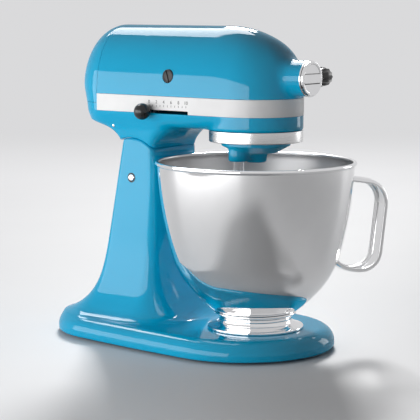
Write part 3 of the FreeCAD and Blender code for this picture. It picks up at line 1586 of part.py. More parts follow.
def levers():
    half = S.lever_w * 0.5
    out = S.speed_knob_x
    body = new_body("speed_arm")
    link_in = S.speed_link_x - S.speed_link_w
    arm = [
        (-out, S.speed_y - half),
        (-link_in, S.speed_y - half),
        (-link_in, S.speed_y + S.speed_link_len),
        (-S.speed_link_x, S.speed_y + S.speed_link_len),
        (-S.speed_link_x, S.speed_y + half),
        (-out, S.speed_y + half),
    ]
    push(body, "Pad", draw(body, "XY_Plane", [arm], (), S.lever_z), S.lever_t)
    body = new_body("lock_arm")
    arm = block(S.lock_in_x, S.lock_knob_x, S.lock_y - half, S.lock_y + half)
    push(body, "Pad", draw(body, "XY_Plane", [arm], (), S.lever_z), S.lever_t)
    middle = S.lever_z + S.lever_t * 0.5
    for label, sign, x, y, r in (("speed_knob", -1, S.speed_knob_x, S.speed_y, S.speed_knob_r),
                                 ("lock_knob", 1, S.lock_knob_x, S.lock_y, S.lock_knob_r)):
        body = turned(label, "x", [
            (-r, r * 0.45, r * 1.1, -1),
            (lift(0), r, r * 1.05, -1),
            (r * 0.9, r * 0.4),
            (r * 0.9, 0),
            (-r, 0),
        ], x=x * sign, y=y, z=middle)
        if sign < 0:
            body.Placement = Placement(Vector(0, 0, 0), Rotation(Vector(0, 0, 1), 180))
            body.setExpression("Placement.Base.x", (x * sign).text)
            body.setExpression("Placement.Base.y", y.text)
            body.setExpression("Placement.Base.z", middle.text)
        flat = S.lever_t * 0.5 + S.press_gap
        wide = half + S.press_gap
        socket = draw(body, "YZ_Plane", [block(-wide, wide, -flat, flat)])
        push(body, "Pocket", socket, r * 2)


def cord_gland():
    turned("cord_gland", "y", [
        (gland_in_y(), S.gland_bore_r),
        (gland_out_y() + S.gland_flange_t, S.gland_bore_r),
        (gland_out_y() + S.gland_flange_t, S.gland_flange_r - 1.6),
        (gland_out_y() - 2.6, S.gland_flange_r),
        (gland_out_y() - 2.6, S.gland_r),
        (gland_in_y(), S.gland_r),
    ], z=S.gland_z)


base_casting()
base_feet()
clamp_plate()
screws("clamp_plate_screws", PLATE_SCREWS, S.plate_screw_head_r, S.base_deck_z + S.plate_t,
       S.plate_screw_head_t, S.plate_screw_r, S.base_deck_z - S.base_deck_t,
       S.base_deck_t + S.plate_t)
column_casting()
screws("column_bolts", BOLTS, S.bolt_head_r, S.base_deck_z - S.base_deck_t - S.bolt_head_t,
       S.bolt_head_t, S.bolt_r, S.base_deck_z - S.base_deck_t, S.bolt_len)
hinge_parts()
bowl_shell()
bowl_ring()
bowl_handle()
head_shell()
rear_cover()
trim_band()
lower_case()
drip_ring()
hub()
hub_cap()
thumb_knob()
gears()
planet_gears()
planetary()
shafts()
gear_frame()
motor_shaft()
stator()
rear_bracket()
brushes()
levers()
cord_gland()
doc.recompute()

for item in doc.Objects:
    if "Invalid" in item.State or "Error" in item.State:
        raise RuntimeError("%s is not made: %s" % (item.Label, item.State))

os.makedirs("parts", exist_ok=True)
for piece in pieces:
    if piece.Shape.isNull() or not piece.Shape.isValid():
        raise RuntimeError("%s has no sound shape" % piece.Label)
    piece.Shape.exportStep("parts/%s.step" % piece.Label)
print("%d pieces" % len(pieces))
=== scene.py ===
import itertools
import math

import bmesh
import bpy
import numpy as np
from mathutils import Matrix, Vector


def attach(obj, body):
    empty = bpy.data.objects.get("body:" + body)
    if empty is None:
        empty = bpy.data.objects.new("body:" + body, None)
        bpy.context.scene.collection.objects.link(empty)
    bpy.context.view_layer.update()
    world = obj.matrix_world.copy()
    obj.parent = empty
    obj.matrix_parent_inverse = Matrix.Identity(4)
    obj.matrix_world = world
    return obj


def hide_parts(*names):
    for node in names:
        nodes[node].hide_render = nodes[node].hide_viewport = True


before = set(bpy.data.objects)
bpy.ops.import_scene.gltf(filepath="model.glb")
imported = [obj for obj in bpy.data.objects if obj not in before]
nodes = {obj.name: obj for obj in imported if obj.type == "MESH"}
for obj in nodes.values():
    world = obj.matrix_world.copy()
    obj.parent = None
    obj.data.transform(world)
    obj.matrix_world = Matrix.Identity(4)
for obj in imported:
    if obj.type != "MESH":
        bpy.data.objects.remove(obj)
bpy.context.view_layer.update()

# Sizes are in millimetres, as in the part's source, and become metres when a mesh is made.
MM = 0.001
HEAD_HALF = 51.5
HEAD_LEN = 182.0
HEAD_TOP = 353.5
COVER_Y = 185.5
COVER_GAP = 0.2
SPRING_Z = 277.0
SPLIT_Z = 266.5
SPLIT_GAP = 0.15
BAND_LOW = 257.9
BAND_GAP = 0.1
CASE_LOW = 242.0
NOSE_Y = 35.0
NOSE_R = 130.0
NOSE_RUN = 110.0
HUB_Z = 299.0
BARREL_R = 19.0
BARREL_ROOT = -20.0
BARREL_END = -69.5
SOCKET_R = 15.6
SOCKET_END = -26.0
THUMB_Y = -57.0
HINGE_Y = 144.0
HINGE_Z = 183.0
SEAM_R = 44.7
SEAM_GAP = 0.5
TONGUE_HALF = 13.6
TONGUE_R = 30.0
SLOT_HALF = 14.0
SLOT_R = 30.4
COLUMN_TOP = 217.0
DECK_Z = 24.0
BASE_LOW = 3.0
BRUSH_Y = 83.0
LEVER_Z = 260.0
GLAND_Z = 253.0
COVER_SCREW_Z = 318.0
FEET = [(0, 0), (66, -22), (-66, -22), (44, 226), (-44, 226)]
PLANET = (-25.851, 4.558)
PLANET_REACH = 26.25
HANDLE_TURN = math.radians(-32)

AHEAD = (0, -1, 0)
BEHIND = (0, 1, 0)
UP = (0, 0, 1)
DOWN = (0, 0, -1)


# Finishes

NOISE_LOW = 0.3
NOISE_HIGH = 0.7


def add_node(tree, kind, values=None, **settings):
    """A new node with its settings made and the values of its inputs filled in."""
    node = tree.nodes.new(kind)
    for key, value in settings.items():
        setattr(node, key, value)
    for key, value in (values or {}).items():
        node.inputs[key].default_value = value
    return node


def new_finish(name, colour, metallic, roughness):
    """A plain finish, with its node tree and its shader to build on."""
    finish = bpy.data.materials.new(name)
    finish.use_nodes = True
    shader = finish.node_tree.nodes["Principled BSDF"]
    shader.inputs["Base Color"].default_value = (*colour, 1)
    shader.inputs["Metallic"].default_value = metallic
    shader.inputs["Roughness"].default_value = roughness
    return finish, finish.node_tree, shader


def grain(tree, scale, detail=3.0, stretch=(1, 1, 1)):
    """Noise over the piece's own coordinates, drawn out along one way for brush and polish lines."""
    coords = tree.nodes.new("ShaderNodeTexCoord")
    mapping = add_node(tree, "ShaderNodeMapping", {"Scale": stretch})
    noise = add_node(tree, "ShaderNodeTexNoise", {"Scale": scale, "Detail": detail})
    tree.links.new(coords.outputs["Object"], mapping.inputs["Vector"])
    tree.links.new(mapping.outputs["Vector"], noise.inputs["Vector"])
    return noise.outputs["Fac"]


def vary_roughness(tree, shader, value, low, high):
    ends = {"From Min": NOISE_LOW, "From Max": NOISE_HIGH, "To Min": low, "To Max": high}
    spread = add_node(tree, "ShaderNodeMapRange", ends)
    tree.links.new(value, spread.inputs["Value"])
    tree.links.new(spread.outputs["Result"], shader.inputs["Roughness"])


def vary_colour(tree, shader, value, dark, light):
    ramp = tree.nodes.new("ShaderNodeValToRGB")
    first, last = ramp.color_ramp.elements
    first.position = NOISE_LOW
    first.color = (*dark, 1)
    last.position = NOISE_HIGH
    last.color = (*light, 1)
    tree.links.new(value, ramp.inputs["Fac"])
    tree.links.new(ramp.outputs["Color"], shader.inputs["Base Color"])


def relief(tree, shader, value, strength, depth):
    bump = add_node(tree, "ShaderNodeBump", {"Strength": strength, "Distance": depth})
    tree.links.new(value, bump.inputs["Height"])
    tree.links.new(bump.outputs["Normal"], shader.inputs["Normal"])


def enamel(name, dark, light):
    """Baked gloss paint: a deep colour under a clear coat with a faint orange peel."""
    finish, tree, shader = new_finish(name, light, metallic=0.0, roughness=0.3)
    shader.inputs["Specular IOR Level"].default_value = 0.0
    shader.inputs["Coat Weight"].default_value = 0.65
    shader.inputs["Coat Roughness"].default_value = 0.05
    vary_colour(tree, shader, grain(tree, scale=9, detail=1), dark, light)
    vary_roughness(tree, shader, grain(tree, scale=60, detail=2), low=0.26, high=0.32)
    relief(tree, shader, grain(tree, scale=150, detail=0), strength=0.01, depth=0.0004)
    return finish


def metal(name, dark, light, low, high, scale, lines, stretch=(1, 1, 1), bare=1.0):
    """Metal with polish or brush lines across the stretched way; below bare 1, a lacquer hides part of it."""
    finish, tree, shader = new_finish(name, light, bare, (low + high) / 2)
    vary_colour(tree, shader, grain(tree, scale=20), dark, light)
    value = grain(tree, scale, 4, stretch)
    vary_roughness(tree, shader, value, low, high)
    relief(tree, shader, value, strength=lines, depth=0.0002)
    return finish


def moulded(name, dark, light, low, high, scale, depth):
    """Plastic or rubber with the fine skin that a mould leaves."""
    finish, tree, shader = new_finish(name, light, 0.0, (low + high) / 2)
    vary_colour(tree, shader, grain(tree, scale=30), dark, light)
    vary_roughness(tree, shader, grain(tree, scale=120), low, high)
    relief(tree, shader, grain(tree, scale, detail=2), strength=0.25, depth=depth)
    return finish


def layered(name, dark, light, metallic, roughness, scale, way):
    """Stacked sheets or laid wire: fine bands along one way."""
    finish, tree, shader = new_finish(name, light, metallic, roughness)
    coords = tree.nodes.new("ShaderNodeTexCoord")
    look = {"Scale": scale, "Distortion": 0.6, "Detail": 1.0}
    wave = add_node(tree, "ShaderNodeTexWave", look, bands_direction=way)
    tree.links.new(coords.outputs["Object"], wave.inputs["Vector"])
    vary_colour(tree, shader, wave.outputs["Fac"], dark, light)
    relief(tree, shader, wave.outputs["Fac"], strength=0.5, depth=0.0003)
    return finish


STEEL_DARK = (0.84, 0.84, 0.845)
STEEL_LIGHT = (0.89, 0.89, 0.89)

BLUE = enamel("blue_enamel", (0.001, 0.365, 0.615), (0.002, 0.385, 0.645))
MIRROR = metal("mirror_steel", STEEL_DARK, STEEL_LIGHT, 0.03, 0.06, scale=6, lines=0.012, stretch=(1, 1, 60))
CHROME = metal("bright_chrome", (0.80, 0.80, 0.81), (0.86, 0.86, 0.86), 0.03, 0.07, scale=30, lines=0.01)
BAND = metal("satin_band", (0.70, 0.70, 0.705), (0.76, 0.76, 0.76), 0.42, 0.52, scale=14, lines=0.05,
             stretch=(1, 1, 70), bare=0.05)
SATIN = metal("satin_ring", (0.62, 0.62, 0.62), (0.70, 0.70, 0.70), 0.24, 0.32, scale=10, lines=0.03,
              stretch=(1, 1, 70))
CAST = metal("cast_alloy", (0.46, 0.47, 0.48), (0.56, 0.57, 0.58), 0.38, 0.56, scale=220, lines=0.25)
STEEL = metal("drawn_steel", (0.50, 0.51, 0.52), (0.60, 0.60, 0.61), 0.22, 0.36, scale=160, lines=0.06)
GEAR = metal("cut_gear_steel", (0.34, 0.34, 0.35), (0.44, 0.44, 0.45), 0.28, 0.44, scale=190, lines=0.1)
BRONZE = metal("oiled_bronze", (0.52, 0.33, 0.13), (0.66, 0.45, 0.20), 0.28, 0.42, scale=170, lines=0.1)
SHEETS = layered("core_sheets", (0.06, 0.06, 0.065), (0.16, 0.16, 0.17), 0.8, 0.5, scale=260, way="Y")
COPPER = layered("enamelled_wire", (0.30, 0.09, 0.03), (0.52, 0.20, 0.07), 0.9, 0.32, scale=320, way="Z")
BLACK = moulded("black_knob", (0.010, 0.010, 0.011), (0.018, 0.018, 0.019), 0.16, 0.26, scale=900,
                depth=0.00006)
DARK = moulded("dark_plastic", (0.020, 0.020, 0.021), (0.036, 0.035, 0.036), 0.48, 0.62, scale=700,
               depth=0.0001)
RUBBER = moulded("foot_rubber", (0.030, 0.030, 0.030), (0.052, 0.052, 0.052), 0.72, 0.88, scale=500,
                 depth=0.00016)
INK = moulded("printed_ink", (0.018, 0.018, 0.020), (0.03, 0.03, 0.032), 0.5, 0.6, scale=900, depth=0.00002)

NODE_FINISHES = {
    BLUE: ["base_casting", "column_casting", "head_shell", "rear_cover", "lower_case", "planetary_carrier"],
    MIRROR: ["bowl_shell", "bowl_foot_ring", "bowl_handle", "beater_shaft", "beater_cross_pin"],
    CHROME: ["hub_cap_pin", "hinge_pin", "hub_cap", "hub_sleeve"],
    BAND: ["trim_band"],
    SATIN: ["drip_ring", "bowl_clamp_plate"],
    CAST: ["gear_frame", "rear_bracket"],
    STEEL: ["clamp_plate_screws", "column_bolts", "hinge_grub_screw", "frame_screws", "cover_screw",
            "centre_shaft", "lay_shaft", "motor_shaft", "hub_shaft", "hub_knob_stud", "brush_springs",
            "speed_arm", "lock_arm", "governor"],
    GEAR: ["ring_gear", "centre_spur_gear", "centre_bevel_gear", "beater_gear", "lay_pinion",
           "lay_bevel_gear", "hub_gear", "motor_pinion"],
    BRONZE: ["hub_bush", "shaft_bushes", "motor_bearings", "beater_bush", "commutator", "brush_holders"],
    SHEETS: ["stator_core", "armature_core"],
    COPPER: ["field_coils"],
    BLACK: ["speed_knob", "lock_knob", "hub_knob", "brush_caps"],
    DARK: ["control_plate", "cooling_fan", "carbon_brushes", "cord_gland"],
    RUBBER: ["base_feet"],
}
for finish, names in NODE_FINISHES.items():
    for name in names:
        for place in nodes[name].material_slots:
            place.material = finish


# Mesh making

MERGE = 1e-7
ARC_STEP = math.radians(9)
MOST_CUT = 0.499


def put_in_scene(name, data):
    thing = bpy.data.objects.new(name, data)
    bpy.context.scene.collection.objects.link(thing)
    return thing


def made_mesh(thing):
    """The plain mesh that an object's modifiers or letters make."""
    bpy.context.view_layer.update()
    return bpy.data.meshes.new_from_object(thing.evaluated_get(bpy.context.evaluated_depsgraph_get()))


def set_in_place(mesh, name, finish, body, replaced, sharp):
    """Puts a finished mesh on its body; sharp is the angle, in degrees, past which an edge stays crisp."""
    mesh.materials.clear()
    mesh.materials.append(finish)
    mesh.shade_smooth()
    mesh.set_sharp_from_angle(angle=math.radians(sharp))
    piece = put_in_scene(name, mesh)
    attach(piece, body)
    if replaced:
        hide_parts(*replaced)
    return piece


def mesh_of(points, faces, outward=True):
    """A mesh in metres from points in millimetres, with doubles merged and faces turned outwards."""
    mesh = bpy.data.meshes.new("form")
    mesh.from_pydata((np.asarray(points, float) * MM).tolist(), [], [list(f) for f in faces])
    if outward:
        tidy = bmesh.new()
        tidy.from_mesh(mesh)
        bmesh.ops.remove_doubles(tidy, verts=tidy.verts, dist=MERGE)
        bmesh.ops.recalc_face_normals(tidy, faces=tidy.faces)
        tidy.to_mesh(mesh)
        tidy.free()
    return mesh


def joined(parts):
    """One list of points and faces from several."""
    points, faces = [], []
    for some, sides in parts:
        start = len(points)
        points += [tuple(p) for p in some]
        faces += [[i + start for i in side] for side in sides]
    return points, faces


def both_sides(part):
    """A part and its mirror image across the mixer's middle plane."""
    points, faces = part
    return [part, ([(-x, y, z) for x, y, z in points], faces)]


def softened(corners, closed=False):
    """A line through corners (across, along, radius), with an arc at each corner that has a radius."""
    line = []
    for i, corner in enumerate(corners):
        here = np.array(corner[:2], float)
        radius = corner[2] if len(corner) > 2 else 0
        at_end = not closed and i in (0, len(corners) - 1)
        if radius == 0 or at_end:
            line.append(tuple(here))
            continue
        back = np.array(corners[i - 1][:2], float) - here
        ahead = np.array(corners[(i + 1) % len(corners)][:2], float) - here
        long_back = np.linalg.norm(back)
        long_ahead = np.linalg.norm(ahead)
        back /= long_back
        ahead /= long_ahead
        half = 0.5 * math.acos(max(-0.9999, min(0.9999, float(back @ ahead))))
        cut = min(radius / math.tan(half), long_back * MOST_CUT, long_ahead * MOST_CUT)
        radius = cut * math.tan(half)
        way = (back + ahead) / np.linalg.norm(back + ahead)
        centre = here + way * radius / math.sin(half)
        start = here + back * cut - centre
        end = here + ahead * cut - centre
        first = math.atan2(start[1], start[0])
        turn = (math.atan2(end[1], end[0]) - first + math.pi) % (2 * math.pi) - math.pi
        count = max(3, int(abs(turn) / ARC_STEP) + 2)
        for t in np.linspace(0, 1, count):
            a = first + turn * t
            line.append((centre[0] + radius * math.cos(a), centre[1] + radius * math.sin(a)))
    return line


def turned(profile, axis="z", centre=(0, 0, 0), steps=128, closed=False, flutes=0, depth=0.0):
    """Points and faces of a profile (radius, along) spun about an axis; flutes hollow out its rim."""
    angles = np.arange(steps) * 2 * math.pi / steps
    points, rows = [], []
    for radius, along in profile:
        if abs(radius) < 1e-9:
            rows.append([len(points)] * steps)
            spots = [(0.0, 0.0)]
        else:
            rows.append(list(range(len(points), len(points) + steps)))
            reach = radius - depth * np.abs(np.sin(angles * flutes / 2))
            spots = list(zip(reach * np.cos(angles), reach * np.sin(angles)))
        for a, b in spots:
            spot = {"z": (a, b, along), "y": (b, along, a), "x": (along, a, b)}[axis]
            points.append(tuple(spot[i] + centre[i] for i in range(3)))
    pairs = list(zip(rows, rows[1:]))
    if closed:
        pairs.append((rows[-1], rows[0]))
    faces = []
    for low, high in pairs:
        for i in range(steps):
            j = (i + 1) % steps
            side = [low[i], low[j], high[j], high[i]]
            side = [p for n, p in enumerate(side) if p != side[n - 1]]
            if len(side) > 2:
                faces.append(side)
    return points, faces


def lathe(name, profile, finish, body, slot, replaced, sharp, **shape):
    """A piece spun from one profile."""
    return set_in_place(mesh_of(*turned(profile, **shape)), name, finish, body, replaced, sharp)


def swept(sections):
    """Points and faces of a closed section carried through several places, with both ends closed."""
    count = len(sections[0])
    points = [tuple(p) for section in sections for p in section]
    faces = [list(range(count))[::-1], [len(points) - count + i for i in range(count)]]
    for row in range(len(sections) - 1):
        low = row * count
        for i in range(count):
            j = (i + 1) % count
            faces.append([low + i, low + j, low + count + j, low + count + i])
    return points, faces


# Cast forms as fields: negative inside, zero on the skin

def smooth_join(a, b, blend):
    share = np.clip(0.5 + 0.5 * (b - a) / blend, 0, 1)
    return b + (a - b) * share - blend * share * (1 - share)


def smooth_trim(a, b, blend):
    return -smooth_join(-a, -b, blend)


def ease(t):
    t = np.clip(t, 0, 1)
    return t * t * (3 - 2 * t)


def skin_of(field, low, high, step):
    """Points and faces of a field's zero surface: one point in each crossed cell, then pulled onto it."""
    axes = [np.arange(a, b + step, step) for a, b in zip(low, high)]
    grid = np.meshgrid(*axes, indexing="ij", sparse=True)
    values = np.broadcast_to(field(*grid), [len(a) for a in axes]).astype(np.float32)
    inside = values < 0
    size = [n - 1 for n in values.shape]

    def corner(array, c):
        return array[c[0]:size[0] + c[0], c[1]:size[1] + c[1], c[2]:size[2] + c[2]]

    corners = list(itertools.product((0, 1), repeat=3))
    count = sum(corner(inside, c).astype(np.int8) for c in corners)
    live = (count > 0) & (count < len(corners))
    index = np.full(live.shape, -1, np.int64)
    index[live] = np.arange(live.sum())
    cells = np.argwhere(live).astype(float)
    total = np.zeros_like(cells)
    hits = np.zeros(len(cells))
    for a in corners:
        for way in range(3):
            if a[way]:
                continue
            b = tuple(1 if n == way else v for n, v in enumerate(a))
            va = corner(values, a)[live]
            vb = corner(values, b)[live]
            crossed = (va < 0) != (vb < 0)
            share = np.where(crossed, va / np.where(crossed, va - vb, 1), 0)
            spot = cells + np.array(a)
            spot[:, way] += share
            total += spot * crossed[:, None]
            hits += crossed
    points = np.array(low, float) + total / hits[:, None] * step
    faces = []
    for way in range(3):
        solid = np.moveaxis(inside, way, 0)
        cell = np.moveaxis(index, way, 0)
        start = solid[:-1, 1:-1, 1:-1]
        change = start != solid[1:, 1:-1, 1:-1]
        around_edge = [cell[:, :-1, :-1], cell[:, 1:, :-1], cell[:, 1:, 1:], cell[:, :-1, 1:]]
        sides = np.stack(around_edge, -1)[change]
        turn = start[change] == (way == 1)
        sides[turn] = sides[turn][:, ::-1]
        faces.append(sides)
    faces = np.concatenate(faces)
    pulls = 5
    reach = step * 0.05
    most = step * 0.5
    least_slope = 0.04
    for _ in range(pulls):
        value = field(*points.T)
        slope = np.empty_like(points)
        for way in range(3):
            shift = np.zeros(3)
            shift[way] = reach
            slope[:, way] = (field(*(points + shift).T) - field(*(points - shift).T)) / (2 * reach)
        move = value / np.maximum((slope ** 2).sum(1), least_slope)
        points -= slope * np.clip(move, -most, most)[:, None]
    return points, faces


def cut_away(form, place, way):
    """Removes what lies beyond a plane, in millimetres, and closes the cut."""
    everything = form.verts[:] + form.edges[:] + form.faces[:]
    result = bmesh.ops.bisect_plane(form, geom=everything, plane_co=Vector(place) * MM, plane_no=way,
                                    clear_outer=True, dist=MERGE)
    rim = [e for e in result["geom_cut"] if isinstance(e, bmesh.types.BMEdge)]
    bmesh.ops.triangle_fill(form, edges=rim, use_beauty=False, normal=way)


def trimmed(points, faces, cuts=()):
    """A mesh from a field's skin, cut by planes given as (place, way out)."""
    mesh = mesh_of(points, faces, outward=False)
    form = bmesh.new()
    form.from_mesh(mesh)
    for place, way in cuts:
        cut_away(form, place, way)
    form.to_mesh(mesh)
    form.free()
    return mesh


def bored(mesh, tools):
    """The mesh with other closed shapes taken out of it."""
    piece = put_in_scene("bored", mesh)
    helpers = []
    for points, faces in tools:
        helper = put_in_scene("tool", mesh_of(points, faces))
        modifier = piece.modifiers.new("bore", "BOOLEAN")
        modifier.operation = "DIFFERENCE"
        modifier.solver = "EXACT"
        modifier.object = helper
        helpers.append(helper)
    result = made_mesh(piece)
    for thing in [piece] + helpers:
        bpy.data.objects.remove(thing)
    return result


def rounded_edge(a, b, radius):
    """Distance to two faces that meet in a rounded edge, from the distance to each."""
    a = a + radius
    b = b + radius
    return np.hypot(np.maximum(a, 0), np.maximum(b, 0)) + np.minimum(np.maximum(a, b), 0) - radius


def rounded_box(x, y, half_x, half_y, corner):
    """Distance in plan to an upright block with rounded corners."""
    return rounded_edge(np.abs(x) - half_x, np.abs(y) - half_y, corner)


# Pedestal: base and column in one blend

BASE_EDGE = 16.0
HOLLOW_IN = 9.0
HOLLOW_TOP = 15.0
MOUTH_IN = 5.0
MOUTH_TOP = 6.0
BOSS_R = 11.5

# The column's size at its top, what it gains down to the deck, and what its foot flares by
COLUMN_HALF, LEAN_HALF, FLARE_HALF = 40.5, 6.0, 25.5
COLUMN_FRONT, LEAN_FRONT, FLARE_FRONT = 114.0, 3.0, 33.0
COLUMN_REAR, LEAN_REAR, FLARE_REAR = 160.8, 39.2, 48.3
COLUMN_CORNER, LEAN_CORNER, FLARE_CORNER = 7.0, 10.0, 38.0


def base_plan(x, y):
    """Distance in plan to the base's outline: two rounds joined by long side arcs."""
    front_r, front_y, rear_r, rear_y, side_r = 102.0, 18.0, 90.0, 173.0, 2000.0
    run = rear_y - front_y
    long = ((side_r - front_r) ** 2 - (side_r - rear_r) ** 2 + run ** 2) / (2 * run)
    across = np.abs(x) + math.sqrt((side_r - front_r) ** 2 - long ** 2)
    along = y - front_y - long
    turn = np.arctan2(along, across)
    front = np.hypot(x, y - front_y) - front_r
    rear = np.hypot(x, y - rear_y) - rear_r
    side = np.hypot(across, along) - side_r
    first = math.asin(-long / (side_r - front_r))
    last = math.asin((run - long) / (side_r - rear_r))
    return np.where(turn < first, front, np.where(turn > last, rear, side))


def pedestal(x, y, z):
    """The hollow base and the leaning column on it, slotted at the top for the hinge tongue."""
    plan = base_plan(x, y)
    slab = rounded_edge(plan, z - DECK_Z, BASE_EDGE)
    down = np.minimum((COLUMN_TOP - z) / (COLUMN_TOP - DECK_Z), 1)
    lean = down * np.abs(down)
    flare = np.maximum(down, 0) ** 10
    half = COLUMN_HALF + LEAN_HALF * lean + FLARE_HALF * np.maximum(down, 0) ** 8
    front = COLUMN_FRONT - LEAN_FRONT * lean - FLARE_FRONT * flare
    rear = COLUMN_REAR + LEAN_REAR * down + FLARE_REAR * flare
    corner = COLUMN_CORNER + LEAN_CORNER * lean + FLARE_CORNER * flare
    column = rounded_box(x, y - (front + rear) / 2, half, (rear - front) / 2, corner)
    column = np.maximum(column, BASE_LOW - z)
    from_hinge = np.hypot(y - HINGE_Y, z - HINGE_Z)
    below_hinge = np.abs(y - HINGE_Y) - SEAM_R - (HINGE_Z - z)
    cap = np.where(z > HINGE_Z, from_hinge - SEAM_R, below_hinge)
    column = smooth_trim(column, cap, blend=2.5)
    form = smooth_join(slab, column, blend=9.0)
    form = smooth_trim(form, BASE_LOW - z, blend=2.0)
    slot_front, slot_drop, slot_fall = 24, 4, 0.18
    slot = np.maximum(np.abs(x) - SLOT_HALF, from_hinge - SLOT_R)
    behind = np.maximum(np.abs(x) - SLOT_HALF, HINGE_Z + (y - HINGE_Y) * slot_fall - slot_drop - z)
    behind = np.maximum(behind, HINGE_Y - slot_front - y)
    form = smooth_trim(form, -np.minimum(slot, behind), blend=1.6)
    hollow = np.maximum(plan + HOLLOW_IN, z - HOLLOW_TOP)
    bosses = np.minimum.reduce([np.hypot(x - fx, y - fy) - BOSS_R for fx, fy in FEET])
    hollow = np.maximum(hollow, -bosses)
    hollow = np.minimum(hollow, np.maximum(plan + MOUTH_IN, z - MOUTH_TOP))
    return smooth_trim(form, -hollow, blend=1.6)


# Head: crest, round front and rear, hub barrel, belly and neck

ROOF_POWER = 2.2
TUCK, TUCK_LOW, TUCK_RUN = 8.8, 252.0, 40.0
BROW_Z = 321.0
BELLY_FRONT = 20.0
BELLY_DRAW = 8.0

# The neck's size at the column's top, and what it gains up to the belly
NECK_RUN = 29.0
NECK_GROW = 3.0
NECK_REACH = 42.0
NECK_REAR, NECK_LEAN, NECK_FLARE = 160.5, 8.0, 48.5
NECK_CORNER = 26.0


def crest(y):
    """Height of the head's top line, which falls in an arc to the nose."""
    run = np.clip(NOSE_Y - y, 0, NOSE_RUN)
    return HEAD_TOP - NOSE_R + np.sqrt(NOSE_R ** 2 - run ** 2)


def rear_tuck(z):
    """How far the rear round draws in below the middle of the head."""
    return TUCK * (1 - ease((z - TUCK_LOW) / TUCK_RUN))


def upper_head(x, y, z):
    """Distance to the long rounded head: a level set over its slope, which is near enough by the skin."""
    rise = crest(y) - SPRING_Z
    run = np.clip(NOSE_Y - y, 0, NOSE_RUN)
    fall = -run / np.sqrt(NOSE_R ** 2 - run ** 2)
    up = np.maximum((z - SPRING_Z) / rise, 0)
    ahead = np.minimum(y, 0)
    widen = HEAD_HALF / (HEAD_HALF - rear_tuck(z))
    behind = np.maximum(y - HEAD_LEN, 0) * widen
    front = HEAD_HALF ** 2 - ahead ** 2
    roof = 1 - up ** ROOF_POWER
    bulk = np.where((front < 0) & (roof < 0), -front * roof, front * roof)
    level = x ** 2 + behind ** 2 - bulk
    steep = ROOF_POWER * up ** (ROOF_POWER - 1) / rise
    slope_y = 2 * ahead * roof + front * steep * up * fall + 2 * behind * widen
    slope_z = front * steep
    least_slope = 20.0
    return level / np.maximum(np.sqrt(4 * x ** 2 + slope_y ** 2 + slope_z ** 2), least_slope)


def head_form(x, y, z):
    """The upper head with its cut-back brow, and the hub barrel with its socket."""
    upper = smooth_trim(upper_head(x, y, z), BAND_LOW - 6 - z, blend=3.0)
    brow = (z - BROW_Z) * 0.6 - (y + HEAD_HALF) * 0.8 + 5
    upper = smooth_trim(upper, brow, blend=8.0)
    from_hub = np.hypot(x, z - HUB_Z)
    barrel = np.maximum(from_hub - BARREL_R, y - BARREL_ROOT)
    form = smooth_join(upper, barrel, blend=7.0)
    no_socket = -30.0
    return np.maximum(form, np.where(y < SOCKET_END, SOCKET_R - from_hub, no_socket))


def lower_form(x, y, z):
    """The drum over the planetary, the belly behind it, and the neck down to the column's cap."""
    drum = np.hypot(x, y) - HEAD_HALF
    drum = smooth_trim(drum, CASE_LOW - z, blend=3.0)
    fade = np.clip((BAND_LOW - z) / (BAND_LOW - CASE_LOW), 0, 1.4)
    radius = HEAD_HALF - BELLY_DRAW * fade ** 1.6
    ends = y - np.clip(y, BELLY_FRONT, HEAD_LEN)
    belly = np.hypot(x, np.where(ends > 0, ends * radius / (radius - rear_tuck(z)), ends)) - radius
    belly = smooth_trim(belly, CASE_LOW - z, blend=9.0)
    t = np.clip((z - COLUMN_TOP) / NECK_RUN, 0, 1)
    half = COLUMN_HALF + NECK_GROW * t ** 1.1
    front = COLUMN_FRONT - NECK_REACH * t ** 1.9
    rear = NECK_REAR + NECK_LEAN * t + NECK_FLARE * t ** 2.7
    corner = COLUMN_CORNER + NECK_CORNER * t ** 2
    neck = rounded_box(x, y - (front + rear) / 2, half, (rear - front) / 2, corner)
    neck = np.maximum(neck, COLUMN_TOP - 3 - z)
    form = smooth_join(smooth_join(belly, drum, blend=3.0), neck, blend=7.0)
    form = np.maximum(form, z - SPRING_Z)
    return smooth_trim(form, SEAM_R + SEAM_GAP - np.hypot(y - HINGE_Y, z - HINGE_Z), blend=1.5)


STEP = 1.6
FINE_STEP = 0.8

points, faces = skin_of(pedestal, (-108, -92, -3), (108, 278, 236), STEP)
set_in_place(trimmed(points, faces), "pedestal_skin", BLUE, "stand",
             ("base_casting", "column_casting"), 50)

points, faces = skin_of(head_form, (-58, -74, 245), (58, 242, 360), STEP)
cap_seat = turned([(0, 47.6), (7.6, 47.6), (7.6, 60), (0, 60)], "x", (0, BRUSH_Y, HUB_Z), 64)
stud_hole = turned([(0, 12), (3.2, 12), (3.2, 40), (0, 40)], "x", (0, THUMB_Y, HUB_Z), 32)
shell = trimmed(points, faces, [((0, 0, SPRING_Z + BAND_GAP), DOWN), ((0, COVER_Y - COVER_GAP, 0), BEHIND),
                                ((0, BARREL_END, 0), AHEAD)])
set_in_place(bored(shell, both_sides(cap_seat) + [stud_hole]), "head_skin", BLUE, "head",
             ("head_shell",), 40)
cover = trimmed(points, faces, [((0, 0, SPLIT_Z + SPLIT_GAP), DOWN), ((0, COVER_Y + COVER_GAP, 0), AHEAD)])
screw_seat = turned([(0, 221.2), (4.8, 221.2), (4.8, 250), (0, 250)], "y", (0, 0, COVER_SCREW_Z), 48)
set_in_place(bored(cover, [screw_seat]), "rear_cover_skin", BLUE, "head", ("rear_cover",), 40)

